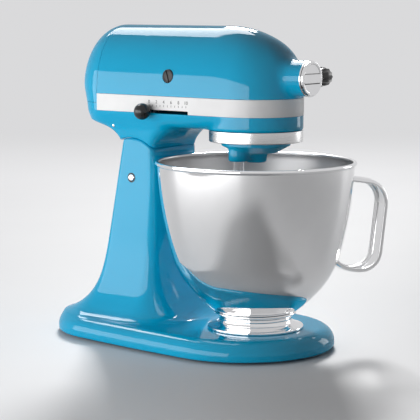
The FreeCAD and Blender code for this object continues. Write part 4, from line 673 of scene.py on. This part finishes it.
points, faces = skin_of(lower_form, (-58, -58, 206), (58, 242, 270), STEP)
band_seat = (0, 0, BAND_LOW - BAND_GAP)
under = trimmed(points, faces, [(band_seat, UP)])
tail = trimmed(points, faces, [(band_seat, DOWN), ((0, 0, SPLIT_Z - SPLIT_GAP), UP),
                               ((0, COVER_Y + COVER_GAP, 0), AHEAD)])
root_half, root_z = 18, 232
tongue = [(HINGE_Y - root_half, root_z)]
for a in np.linspace(math.radians(110), math.radians(430), 60):
    tongue.append((HINGE_Y + TONGUE_R * math.cos(a), HINGE_Z + TONGUE_R * math.sin(a)))
tongue.append((HINGE_Y + root_half, root_z))
tongue_mesh = mesh_of(*swept([[(x, y, z) for y, z in tongue] for x in (-TONGUE_HALF, TONGUE_HALF)]))
case = bmesh.new()
for part in (under, tail, tongue_mesh):
    case.from_mesh(part)
lower = bpy.data.meshes.new("lower_case")
case.to_mesh(lower)
case.free()
set_in_place(lower, "lower_case_skin", BLUE, "head", ("lower_case",), 40)


# Bowl

WALL = 1.2
BOTTOM_Z = 43.0
BOTTOM_EDGE = (44, BOTTOM_Z)
BELLY_EDGE = (90, 98)
WALL_EDGE = (107.6, 203)
LOW_ARC = 120.0
HIGH_ARC = 430.0


def bowl_arcs():
    """Outer wall as two arcs that meet at the belly, as the sheet is drawn in the press."""
    line = [(0.0, BOTTOM_Z), (36.0, BOTTOM_Z), (41.0, BOTTOM_Z + 0.05)]
    for start, end, radius in ((BOTTOM_EDGE, BELLY_EDGE, LOW_ARC), (BELLY_EDGE, WALL_EDGE, HIGH_ARC)):
        a = np.array(start, float)
        b = np.array(end, float)
        chord = b - a
        long = np.linalg.norm(chord)
        normal = np.array([-chord[1], chord[0]]) / long
        centre = (a + b) / 2 + normal * math.sqrt(radius ** 2 - long ** 2 / 4)
        first = math.atan2(*(a - centre)[::-1])
        turn = (math.atan2(*(b - centre)[::-1]) - first + math.pi) % (2 * math.pi) - math.pi
        for angle in first + turn * np.linspace(0, 1, 40):
            line.append(tuple(centre + radius * np.array([math.cos(angle), math.sin(angle)])))
    return line


def drawn_sheet(name):
    """Sheet steel, mirror polished outside; where the piece's attribute marks the inside, brush-finished
    round and darker, the darker colour being painted shade in the bowl's hollow.
    """
    finish, tree, shader = new_finish(name, (0.78, 0.78, 0.78), metallic=1.0, roughness=0.05)
    vary_colour(tree, shader, grain(tree, scale=20), STEEL_DARK, STEEL_LIGHT)
    inside = add_node(tree, "ShaderNodeAttribute", attribute_name="brushed_and_shaded")
    # Painted shade: the inside of the bowl takes a darker steel colour; only the added roughness is its real
    # brush finish
    shaded_inside_colour = add_node(tree, "ShaderNodeMix", {"B": (0.54, 0.54, 0.545, 1)}, data_type="RGBA")
    tree.links.new(inside.outputs["Fac"], shaded_inside_colour.inputs["Factor"])
    tree.links.new(shader.inputs["Base Color"].links[0].from_socket, shaded_inside_colour.inputs["A"])
    tree.links.new(shaded_inside_colour.outputs["Result"], shader.inputs["Base Color"])
    lines = grain(tree, scale=5, detail=4, stretch=(1, 1, 90))
    polish = add_node(tree, "ShaderNodeMapRange", {"To Min": 0.03, "To Max": 0.07})
    rougher = add_node(tree, "ShaderNodeMath", {1: 0.26}, operation="MULTIPLY_ADD")
    tree.links.new(inside.outputs["Fac"], rougher.inputs[0])
    tree.links.new(lines, polish.inputs["Value"])
    tree.links.new(polish.outputs["Result"], rougher.inputs[2])
    tree.links.new(rougher.outputs[0], shader.inputs["Roughness"])
    relief(tree, shader, lines, strength=0.012, depth=0.0002)
    return finish


outer = bowl_arcs()
wall_radii, wall_heights = zip(*outer[3:])
inner = []
for i, (r, h) in enumerate(outer[:-1]):
    along = np.array(outer[i + 1]) - np.array(outer[max(i - 1, 0)])
    normal = np.array([-along[1], along[0]]) / np.linalg.norm(along)
    inner.append((max(r + normal[0] * WALL, 0), h + normal[1] * WALL))
inner[0] = (0, BOTTOM_Z + WALL)
bead = [(107.8 + 2.2 * math.sin(a), 205.6 - 2.4 * math.cos(a)) for a in np.linspace(0.2, math.pi * 1.35, 22)]
bowl_line = outer + bead + [(106.3, 204.5)] + inner[::-1]
bowl = lathe("bowl_skin", bowl_line, drawn_sheet("bowl_sheet"), "bowl", "polished_steel", ("bowl_shell",), 60,
             steps=256)
# Marks the bowl's inside, which gets its rougher brush finish and a darker colour as painted shade
brushed_and_shaded = bowl.data.attributes.new("brushed_and_shaded", "FLOAT", "POINT")
for point, value in zip(bowl.data.vertices, brushed_and_shaded.data):
    radius = math.hypot(point.co.x, point.co.y) / MM
    value.value = float(radius < np.interp(point.co.z / MM, wall_heights, wall_radii) - WALL * 0.5)

foot_ring = softened([
    (52.8, 24.3, 0.6), (52.8, 26.8, 1.0), (47.5, 28.4, 3), (42.2, 30.6, 3), (39.8, 34.5, 4), (41.4, 38.6, 2),
    (44.6, 40.0, 1.2), (45.4, 41.6, 1.2), (44.2, 42.9, 0.6), (36, 42.9), (36, 40.6), (38, 38, 1),
    (37.4, 33, 2), (40, 29, 2), (46, 26, 1), (46, 24.3)], closed=True)
lathe("bowl_foot_skin", foot_ring, MIRROR, "bowl", "polished_steel", ("bowl_foot_ring",), 50, steps=192,
      closed=True)


# Handle: a channel section carried along the strap

STRAP_STEP = 4
LEAST_STEP = 0.4

strap_line = softened([(105.6, 188.9), (158.5, 180.5, 28), (146.5, 78.2, 28.3), (101, 78.2, 49.5),
                       (72.2, 106.6)])[:-1]
strap_line = [p for i, p in enumerate(strap_line) if i == 0 or math.dist(p, strap_line[i - 1]) > LEAST_STEP]
fine = []
for a, b in zip(strap_line, strap_line[1:]):
    count = max(1, int(math.dist(a, b) / STRAP_STEP))
    fine += [tuple(np.array(a) + (np.array(b) - np.array(a)) * t / count) for t in range(count)]
strap_line = fine + [strap_line[-1]]
channel = softened([(-14, -6.2, 1), (-14, -1.6, 3), (0, 0, 30), (14, -1.6, 3), (14, -6.2, 1), (11.6, -6.2, 1),
                    (11.6, -3, 1.6), (0, -2, 30), (-11.6, -3, 1.6), (-11.6, -6.2, 1)], closed=True)
outward = np.array([math.cos(HANDLE_TURN), math.sin(HANDLE_TURN), 0])
across = np.array([-math.sin(HANDLE_TURN), math.cos(HANDLE_TURN), 0])
upright = np.array([0, 0, 1.0])


def onto_wall(spot, way):
    """Moves a point along a way until it is just under the bowl's outer skin."""
    under_skin = 0.5
    for _ in range(30):
        gap = math.hypot(spot[0], spot[1]) - np.interp(spot[2], wall_heights, wall_radii) + under_skin
        spot = spot + way * gap
    return spot


sections = []
for i, (u, h) in enumerate(strap_line):
    before = strap_line[max(i - 1, 0)]
    after = strap_line[min(i + 1, len(strap_line) - 1)]
    way = np.array([after[0] - before[0], after[1] - before[1]])
    way /= np.linalg.norm(way)
    side = outward * -way[1] + upright * way[0]
    section = [outward * u + upright * h + across * v + side * n for v, n in channel]
    along = outward * way[0] + upright * way[1]
    if i == 0:
        section = [onto_wall(spot, -along) for spot in section]
    if i == len(strap_line) - 1:
        section = [onto_wall(spot, along) for spot in section]
    sections.append(section)
set_in_place(mesh_of(*swept(sections)), "handle_skin", MIRROR, "bowl", ("bowl_handle",), 45)


# Band with its lever slots

BAND_END = COVER_Y - 0.3
SLOT_TOP = 261.8


def band_path(reach):
    """Plan line of the band: one side, round the front and back along the other side."""
    line = [(-reach, y) for y in np.linspace(BAND_END, 0, 30)]
    line += [(reach * math.cos(a), reach * math.sin(a)) for a in np.linspace(math.pi, 2 * math.pi, 73)[1:-1]]
    return line + [(reach, y) for y in np.linspace(0, BAND_END, 30)]


def slot_tool(side, front, rear):
    """What opens a lever's slot in the lower edge of the band, on one side."""
    corners = softened([(front, 250), (front, SLOT_TOP, 1.2), (rear, SLOT_TOP, 1.2), (rear, 250)])
    return swept([[(side * x, y, z) for y, z in corners] for x in (46, 60)])


strip = softened([(49.9, 257.95), (51.9, 257.95, 0.5), (51.9, 276.95, 0.5), (49.9, 276.95)], closed=True)
lines = [[(x, y, z) for x, y in band_path(reach)] for reach, z in strip]
band = bored(mesh_of(*swept(list(zip(*lines)))), [slot_tool(-1, 53.4, 114.6), slot_tool(1, 81.4, 110.6)])
set_in_place(band, "band_skin", BAND, "head", ("trim_band",), 40)


# Patterns by Geometry Nodes, and the speed marks

def pattern_tree(name, finish, sizes):
    """A tree that sets a shape, linked in later, at each point; sizes gives its inputs' kinds and values."""
    tree = bpy.data.node_groups.new(name, "GeometryNodeTree")
    tree.interface.new_socket("Geometry", in_out="INPUT", socket_type="NodeSocketGeometry")
    values = {}
    for label, (kind, value) in sizes.items():
        socket = tree.interface.new_socket(label, in_out="INPUT", socket_type=kind)
        values[socket.identifier] = value
    tree.interface.new_socket("Geometry", in_out="OUTPUT", socket_type="NodeSocketGeometry")
    start = tree.nodes.new("NodeGroupInput")
    end = tree.nodes.new("NodeGroupOutput")
    spots = tree.nodes.new("GeometryNodeMeshToPoints")
    place = tree.nodes.new("GeometryNodeInstanceOnPoints")
    real = tree.nodes.new("GeometryNodeRealizeInstances")
    paint = add_node(tree, "GeometryNodeSetMaterial", {"Material": finish})
    tree.links.new(start.outputs["Geometry"], spots.inputs["Mesh"])
    tree.links.new(spots.outputs["Points"], place.inputs["Points"])
    tree.links.new(place.outputs["Instances"], real.inputs["Geometry"])
    tree.links.new(real.outputs["Geometry"], paint.inputs["Geometry"])
    tree.links.new(paint.outputs["Geometry"], end.inputs["Geometry"])
    return tree, start, place, values


def marks_tree(finish):
    """One small upright mark at each point of the row."""
    sizes = {"Mark height": ("NodeSocketFloat", 0.0022), "Mark width": ("NodeSocketFloat", 0.0005)}
    tree, start, place, values = pattern_tree("speed_marks", finish, sizes)
    ink_thick = 0.00012
    size = add_node(tree, "ShaderNodeCombineXYZ", {"X": ink_thick})
    block = tree.nodes.new("GeometryNodeMeshCube")
    tree.links.new(start.outputs["Mark width"], size.inputs["Y"])
    tree.links.new(start.outputs["Mark height"], size.inputs["Z"])
    tree.links.new(size.outputs["Vector"], block.inputs["Size"])
    tree.links.new(block.outputs["Mesh"], place.inputs["Instance"])
    return tree, values


def feet_tree(shape, finish):
    """The same turned foot at each foot's place."""
    sizes = {"Foot size": ("NodeSocketVector", (1.0, 1.0, 1.0))}
    tree, start, place, values = pattern_tree("feet", finish, sizes)
    pattern = add_node(tree, "GeometryNodeObjectInfo", {"Object": shape})
    tree.links.new(start.outputs["Foot size"], place.inputs["Scale"])
    tree.links.new(pattern.outputs["Geometry"], place.inputs["Instance"])
    return tree, values


def grown(points, tree, values):
    """The plain mesh that a Geometry Nodes tree makes from a few points, in millimetres."""
    mesh = bpy.data.meshes.new("spots")
    mesh.from_pydata([tuple(c * MM for c in p) for p in points], [], [])
    holder = put_in_scene("spots", mesh)
    modifier = holder.modifiers.new("grow", "NODES")
    modifier.node_group = tree
    for key, value in values.items():
        modifier[key] = value
    result = made_mesh(holder)
    holder.modifiers.clear()
    bpy.data.objects.remove(holder)
    return result


FIRST_MARK_Y = 108
MARK_STEP = 5.2
MARK_COUNT = 11

mark_spots = [(-51.92, FIRST_MARK_Y - MARK_STEP * i, 266.4) for i in range(MARK_COUNT)]
print_form = bmesh.new()
print_form.from_mesh(grown(mark_spots, *marks_tree(INK)))
to_the_left = Matrix.Rotation(math.radians(-90), 4, "Z") @ Matrix.Rotation(math.radians(90), 4, "X")
for i, label in enumerate(["0", "2", "4", "6", "8", "10"]):
    numeral = bpy.data.curves.new("numeral", "FONT")
    numeral.body = label
    numeral.size = 0.0052
    numeral.align_x = "CENTER"
    numeral.extrude = 0.00005
    holder = put_in_scene("numeral", numeral)
    flat = made_mesh(holder)
    place = Vector((-51.93, FIRST_MARK_Y - 2 * MARK_STEP * i, 269.0)) * MM
    flat.transform(Matrix.Translation(place) @ to_the_left)
    print_form.from_mesh(flat)
    bpy.data.objects.remove(holder)
print_mesh = bpy.data.meshes.new("speed_marks")
print_form.to_mesh(print_mesh)
print_form.free()
set_in_place(print_mesh, "speed_marks", INK, "head", (), 30)


# Drip ring, planetary and beater shaft

drip = softened([(51.2, 229.4, 0.8), (51.2, 241.7, 0.5), (47.6, 241.7), (47.6, 232.0), (39.2, 232.0),
                 (39.2, 229.4, 0.5)], closed=True)
lathe("drip_ring_skin", drip, SATIN, "head", "chrome_trim", ("drip_ring",), 40, steps=192, closed=True)


def planetary(x, y, z):
    """A shallow disc with a nose in the middle, and an arm out to the boss that holds the beater shaft."""
    disc_low, disc_high, disc_r = 216, 231.4, 37.6
    nose_low, nose_r = 206.4, 11.5
    boss_low, boss_r, hole_r = 208.9, 10.6, 6.6
    arm_low, arm_half, arm_long = 211.5, 9.0, 26
    inside = 225
    away = np.hypot(x, y)
    from_shaft = np.hypot(x - PLANET[0], y - PLANET[1])
    disc = np.maximum(away - np.minimum(disc_r, 21.5 + (z - 216.5) * 1.9), disc_low - z)
    disc = smooth_trim(disc, disc_low - z, blend=3.0)
    disc = smooth_trim(disc, z - disc_high, blend=1.0)
    nose = np.maximum(away - nose_r - 0.1 * (z - 206.3), z - inside)
    nose = smooth_trim(nose, nose_low - z, blend=3.0)
    boss = smooth_trim(np.maximum(from_shaft - boss_r, z - 229), boss_low - z, blend=2.5)
    arm = np.abs(x * PLANET[1] - y * PLANET[0]) / PLANET_REACH - arm_half
    reach = -(x * PLANET[0] + y * PLANET[1]) / PLANET_REACH
    arm = np.maximum(np.maximum(arm, reach), -reach - arm_long)
    arm = smooth_trim(np.maximum(arm, z - inside), arm_low - z, blend=2.5)
    form = smooth_join(smooth_join(disc, nose, blend=5.0), smooth_join(boss, arm, blend=3.0), blend=5.0)
    return np.maximum(form, hole_r - from_shaft)


points, faces = skin_of(planetary, (-41, -41, 203), (41, 41, 235), FINE_STEP)
set_in_place(trimmed(points, faces), "planetary_skin", BLUE, "planetary", ("planetary_carrier",), 45)

shaft = softened([(0, 165), (6.35, 165, 1.2), (6.35, 182.6), (6.0, 182.9), (6.0, 183.9), (6.35, 184.2),
                  (6.35, 240.4), (0, 240.4)])
lathe("beater_shaft_skin", shaft, MIRROR, "beater", "polished_steel", ("beater_shaft",), 30,
      centre=(*PLANET, 0), steps=64)
cross_pin = softened([(0, -10), (1.6, -10, 0.5), (1.6, 10, 0.5), (0, 10)])
lathe("cross_pin_skin", cross_pin, STEEL, "beater", "polished_steel", ("beater_cross_pin",), 40, axis="x",
      centre=(*PLANET, 187), steps=32)


# Hub ring, cap and knob

HUB = (0, 0, HUB_Z)
CAP_PIN = (21.8, -69, HUB_Z)


def upright_plate(outline, low, high):
    """A flat plate (across, along) that stands between two heights over the hub's middle."""
    return swept([[(x, y, HUB_Z + h) for x, y in outline] for h in (low, high)])


sleeve = turned(softened([(19.4, -70.9, 0.5), (19.4, -69.4, 0.4), (15.5, -69.4), (15.5, -27), (12.7, -27),
                          (12.7, -70.9, 0.5)], closed=True), "y", HUB, 128, True)
ear = softened([(17.6, -67.0, 0.4), (21.8, -66.8, 1.6), (23.7, -69.0, 1.9), (21.8, -70.9, 1.6),
                (17.6, -70.6, 0.4)], closed=True)
ears = [upright_plate(ear, 4.7, 7.7), upright_plate(ear, -7.7, -4.7)]
set_in_place(mesh_of(*joined([sleeve] + ears)), "hub_ring_skin", CHROME, "head",
             ("hub_sleeve",), 40)

disc = turned(softened([(0, -71.3), (18.4, -71.3, 0.5), (18.4, -74.0, 0.7), (15.8, -74.0, 0.6),
                        (15.2, -73.3, 0.4), (0, -73.3)]), "y", HUB, 128)
bar_line = softened([(-15.6, -4.6, 0.8), (15.6, -4.6, 0.8), (15.6, 4.6, 0.8), (-15.6, 4.6, 0.8)], closed=True)
bar = swept([[(x * k, y, HUB_Z + z * k) for x, z in bar_line]
             for y, k in ((-73.0, 1.0), (-74.3, 1.0), (-74.7, 0.97))])
knuckle = turned(softened([(0, -4.4), (1.85, -4.4, 0.4), (1.85, 4.4, 0.4), (0, 4.4)]), "z", CAP_PIN, 32)
arm_line = softened([(15, -73.6), (21.6, -71.2, 1), (21.8, -69.2), (20.0, -69.4), (15, -71.4)], closed=True)
cap_arm = upright_plate(arm_line, -4.2, 4.2)
set_in_place(mesh_of(*joined([disc, bar, knuckle, cap_arm])), "hub_cap_skin", CHROME, "cap",
             ("hub_cap",), 40)

# Painted shadow: thin dark strips along the lower and upper edges of the cap's raised bar stand in for the
# shade where it meets the disc
cap_shade_lines = []
for low, high in ((-5.9, -4.9), (4.9, 5.5)):
    edge = [(-14.6, low), (14.6, low), (14.6, high), (-14.6, high)]
    cap_shade_lines.append(swept([[(x, y, HUB_Z + z) for x, z in edge] for y in (-73.1, -73.42)]))
set_in_place(mesh_of(*joined(cap_shade_lines)), "hub_cap_lines", DARK, "cap", (), 40)

knob = softened([(0, 26.2), (6.2, 26.2, 0.5), (6.2, 29.2, 0.6), (9.4, 31.4, 3), (10.9, 40.0, 12),
                 (9.8, 49.0, 4), (7.2, 52.6, 2.4), (5.2, 53.4, 1), (5.0, 52.8, 0.4), (0, 52.8)])
lathe("hub_knob_skin", knob, BLACK, "knob", "black_knob", ("hub_knob",), 40, axis="x",
      centre=(0, THUMB_Y, HUB_Z), steps=192, flutes=12, depth=0.9)


# Levers, brush caps, hinge pin, case screws, gland and feet

def ball(radius):
    """Profile of a round knob, with its two poles on the axis."""
    line = [(math.sin(a), -math.cos(a)) for a in np.linspace(0, math.pi, 33)]
    return [(0, -radius)] + [(r * radius, h * radius) for r, h in line[1:-1]] + [(0, radius)]


lathe("speed_knob_skin", ball(9.2), BLACK, "speed_lever", "black_knob", ("speed_knob",), 60, axis="x",
      centre=(-61.5, 110, LEVER_Z), steps=64)
lathe("lock_knob_skin", ball(6.5), BLACK, "lock_lever", "black_knob", ("lock_knob",), 60, axis="x",
      centre=(59.6, 106, LEVER_Z), steps=64)

brush_cap = turned(softened([(0, 47.4), (7.3, 47.4), (7.3, 50.2, 0.7), (5.8, 50.6, 0.5), (5.2, 50.1, 0.3),
                             (0, 50.1)]), "x", (0, BRUSH_Y, HUB_Z), 64)
SCREW_SLOT_TURN = math.radians(72)
slot_way = (math.cos(SCREW_SLOT_TURN), math.sin(SCREW_SLOT_TURN))
slot_edge = [(a * slot_way[0] - b * slot_way[1], a * slot_way[1] + b * slot_way[0])
             for a, b in ((-9, -0.85), (9, -0.85), (9, 0.85), (-9, 0.85))]
screw_slot = swept([[(x, BRUSH_Y + a, HUB_Z + b) for a, b in slot_edge] for x in (49.0, 55.0)])
set_in_place(bored(mesh_of(*joined(both_sides(brush_cap))), both_sides(screw_slot)), "brush_cap_skin", DARK,
             "head", ("brush_caps",), 40)

HINGE = (0, HINGE_Y, HINGE_Z)
pin_line = softened([(0, -41.9), (3.2, -41.9, 0.8), (4.0, -40.9, 0.6), (4.0, 40.9, 0.6), (3.2, 41.9, 0.8),
                     (0, 41.9)])
lathe("hinge_pin_skin", pin_line, CHROME, "stand", "chrome_trim", ("hinge_pin",), 40, axis="x", centre=HINGE,
      steps=48)
pin_ring = turned(softened([(4.1, 40.2), (5.5, 40.2), (5.5, 40.9, 0.2), (4.1, 40.9, 0.2)], closed=True), "x",
                  HINGE, 48, True)
set_in_place(mesh_of(*joined(both_sides(pin_ring))), "hinge_pin_rings", DARK, "stand", (), 40)

screw_x, screw_y, screw_z = -43.26, 168, 240.63
lean_x, lean_z = -0.927, -0.374
screw_line = softened([(0, -2.0), (1.8, -2.0), (1.8, 0.4, 0.3), (0.9, 0.9, 0.5), (0, 1.0)])
screw_points, screw_faces = turned(screw_line, "x", (0, 0, 0), 32)
case_screw = ([(screw_x + lean_x * a - lean_z * c, screw_y + b, screw_z + lean_z * a + lean_x * c)
               for a, b, c in screw_points], screw_faces)
set_in_place(mesh_of(*joined(both_sides(case_screw))), "case_screw_skin", CHROME, "head", (),
             40)

gland = softened([(3.6, 216, 0.3), (6.2, 216, 0.3), (6.2, 227.8), (7.3, 228, 0.4), (7.3, 229.8, 0.5),
                  (5.6, 231.6, 0.6), (3.6, 231.6, 0.5)], closed=True)
lathe("cord_gland_skin", gland, RUBBER, "head", "rubber_gland", ("cord_gland",), 35, axis="y",
      centre=(0, 0, GLAND_Z), steps=64, closed=True)

foot = softened([(0, 0), (8.2, 0, 0.8), (9.0, 1.2, 0.8), (9.0, 6.0, 0.4), (0, 6.0)])
foot_shape = put_in_scene("foot_shape", mesh_of(*turned(foot, steps=64)))
feet = grown([(x, y, 0) for x, y in FEET], *feet_tree(foot_shape, RUBBER))
bpy.data.objects.remove(foot_shape)
set_in_place(feet, "feet_skin", RUBBER, "stand", ("base_feet",), 40)


# Floor and world, in metres from here on

PALE = (0.70, 0.70, 0.71)
AMBIENT = (0.06, 0.061, 0.062)
FLOOR_HALF = 30
FADE_FROM = 0.5
FADE_TO = 3.0


def seen_directly(tree):
    """One for rays from the camera and in mirrors and glass, nought for the light that falls on things."""
    path = tree.nodes.new("ShaderNodeLightPath")
    value = path.outputs["Is Camera Ray"]
    for name in ("Is Glossy Ray", "Is Transmission Ray"):
        larger = add_node(tree, "ShaderNodeMath", operation="MAXIMUM")
        tree.links.new(value, larger.inputs[0])
        tree.links.new(path.outputs[name], larger.inputs[1])
        value = larger.outputs[0]
    return value


def pale_floor():
    """A pale floor that shades as it is lit near the mixer, and fades to an even tone far off."""
    finish, tree, shader = new_finish("pale_floor", PALE, metallic=0.0, roughness=0.6)
    vary_colour(tree, shader, grain(tree, scale=3, detail=2), (0.69, 0.69, 0.70), (0.71, 0.71, 0.72))
    coords = tree.nodes.new("ShaderNodeTexCoord")
    far = add_node(tree, "ShaderNodeVectorMath", operation="LENGTH")
    ends = {"From Min": FADE_FROM, "From Max": FADE_TO}
    fade = add_node(tree, "ShaderNodeMapRange", ends, interpolation_type="SMOOTHSTEP")
    seen = add_node(tree, "ShaderNodeMath", operation="MULTIPLY")
    glow = add_node(tree, "ShaderNodeEmission", {"Color": (*PALE, 1)})
    both = tree.nodes.new("ShaderNodeMixShader")
    tree.links.new(coords.outputs["Object"], far.inputs[0])
    tree.links.new(far.outputs["Value"], fade.inputs["Value"])
    tree.links.new(fade.outputs["Result"], seen.inputs[0])
    tree.links.new(seen_directly(tree), seen.inputs[1])
    tree.links.new(seen.outputs[0], both.inputs["Fac"])
    tree.links.new(shader.outputs["BSDF"], both.inputs[1])
    tree.links.new(glow.outputs["Emission"], both.inputs[2])
    tree.links.new(both.outputs["Shader"], tree.nodes["Material Output"].inputs["Surface"])
    return finish


floor_mesh = bpy.data.meshes.new("floor")
floor_corners = [(a * FLOOR_HALF, b * FLOOR_HALF, 0) for a, b in ((-1, -1), (1, -1), (1, 1), (-1, 1))]
floor_mesh.from_pydata(floor_corners, [], [(0, 1, 2, 3)])
floor_mesh.materials.append(pale_floor())
floor = put_in_scene("floor", floor_mesh)

world = bpy.data.worlds.new("studio")
bpy.context.scene.world = world
world.use_nodes = True
sky = world.node_tree
blend = add_node(sky, "ShaderNodeMix", {"A": (*AMBIENT, 1), "B": (*PALE, 1)}, data_type="RGBA")
sky.links.new(seen_directly(sky), blend.inputs["Factor"])
sky.links.new(blend.outputs["Result"], sky.nodes["Background"].inputs["Color"])


# Camera and lamps

CAMERA_AZ = math.radians(-53.528)
CAMERA_FAR = 1.7823
CAMERA_HIGH = 0.3854
CAMERA_YAW = math.radians(-1.608)
CAMERA_PITCH = math.radians(7.412)
FOCAL_PIXELS = 1643.28
PHOTO_PIXELS = 420
SENSOR = 36


def around(degrees, far, high):
    """A place round the object, counted in degrees to the right of the camera."""
    a = CAMERA_AZ + math.radians(degrees)
    return math.sin(a) * far, -math.cos(a) * far, high


def panel(name, place, aim, wide, tall, power, card=False):
    """A soft box that faces a point; a card shows only in shiny surfaces."""
    lamp = bpy.data.lights.new(name, "AREA")
    lamp.shape = "RECTANGLE"
    lamp.size = wide
    lamp.size_y = tall
    lamp.energy = power
    box = put_in_scene(name, lamp)
    box.location = place
    box.rotation_euler = (Vector(aim) - Vector(place)).to_track_quat("-Z", "Y").to_euler()
    box.visible_camera = False
    box.visible_diffuse = not card


panel("back_card", (0.85, 1.42, 2.0), (0, 0.05, 0.3), wide=1.5, tall=1.0, power=40, card=True)
panel("back_panel", (2.8, 2.08, 2.4), (0, 0, 0.2), wide=0.8, tall=0.8, power=126)
panel("left_panel", around(-62, 1.15, 0.3), (0, 0.05, 0.3), wide=2.2, tall=0.56, power=14.4)
panel("right_panel", around(126, 2.2, 0.5), (0, 0.05, 0.5), wide=0.6, tall=0.9, power=5)

camera_data = bpy.data.cameras.new("photo_camera")
camera_data.sensor_width = SENSOR
camera_data.lens = FOCAL_PIXELS / PHOTO_PIXELS * SENSOR
camera_data.clip_end = 100
camera = put_in_scene("photo_camera", camera_data)
forward = Vector((-math.sin(CAMERA_AZ), math.cos(CAMERA_AZ), 0))
right = Vector((math.cos(CAMERA_AZ), math.sin(CAMERA_AZ), 0))
level = forward * math.cos(CAMERA_YAW) + right * math.sin(CAMERA_YAW)
aside = right * math.cos(CAMERA_YAW) - forward * math.sin(CAMERA_YAW)
look = level * math.cos(CAMERA_PITCH) - Vector(UP) * math.sin(CAMERA_PITCH)
over = aside.cross(look)
turn = Matrix((aside, over, -look)).transposed().to_4x4()
camera.matrix_world = Matrix.Translation(around(0, CAMERA_FAR, CAMERA_HIGH)) @ turn
bpy.context.scene.camera = camera
bpy.context.scene.view_settings.view_transform = "Standard"
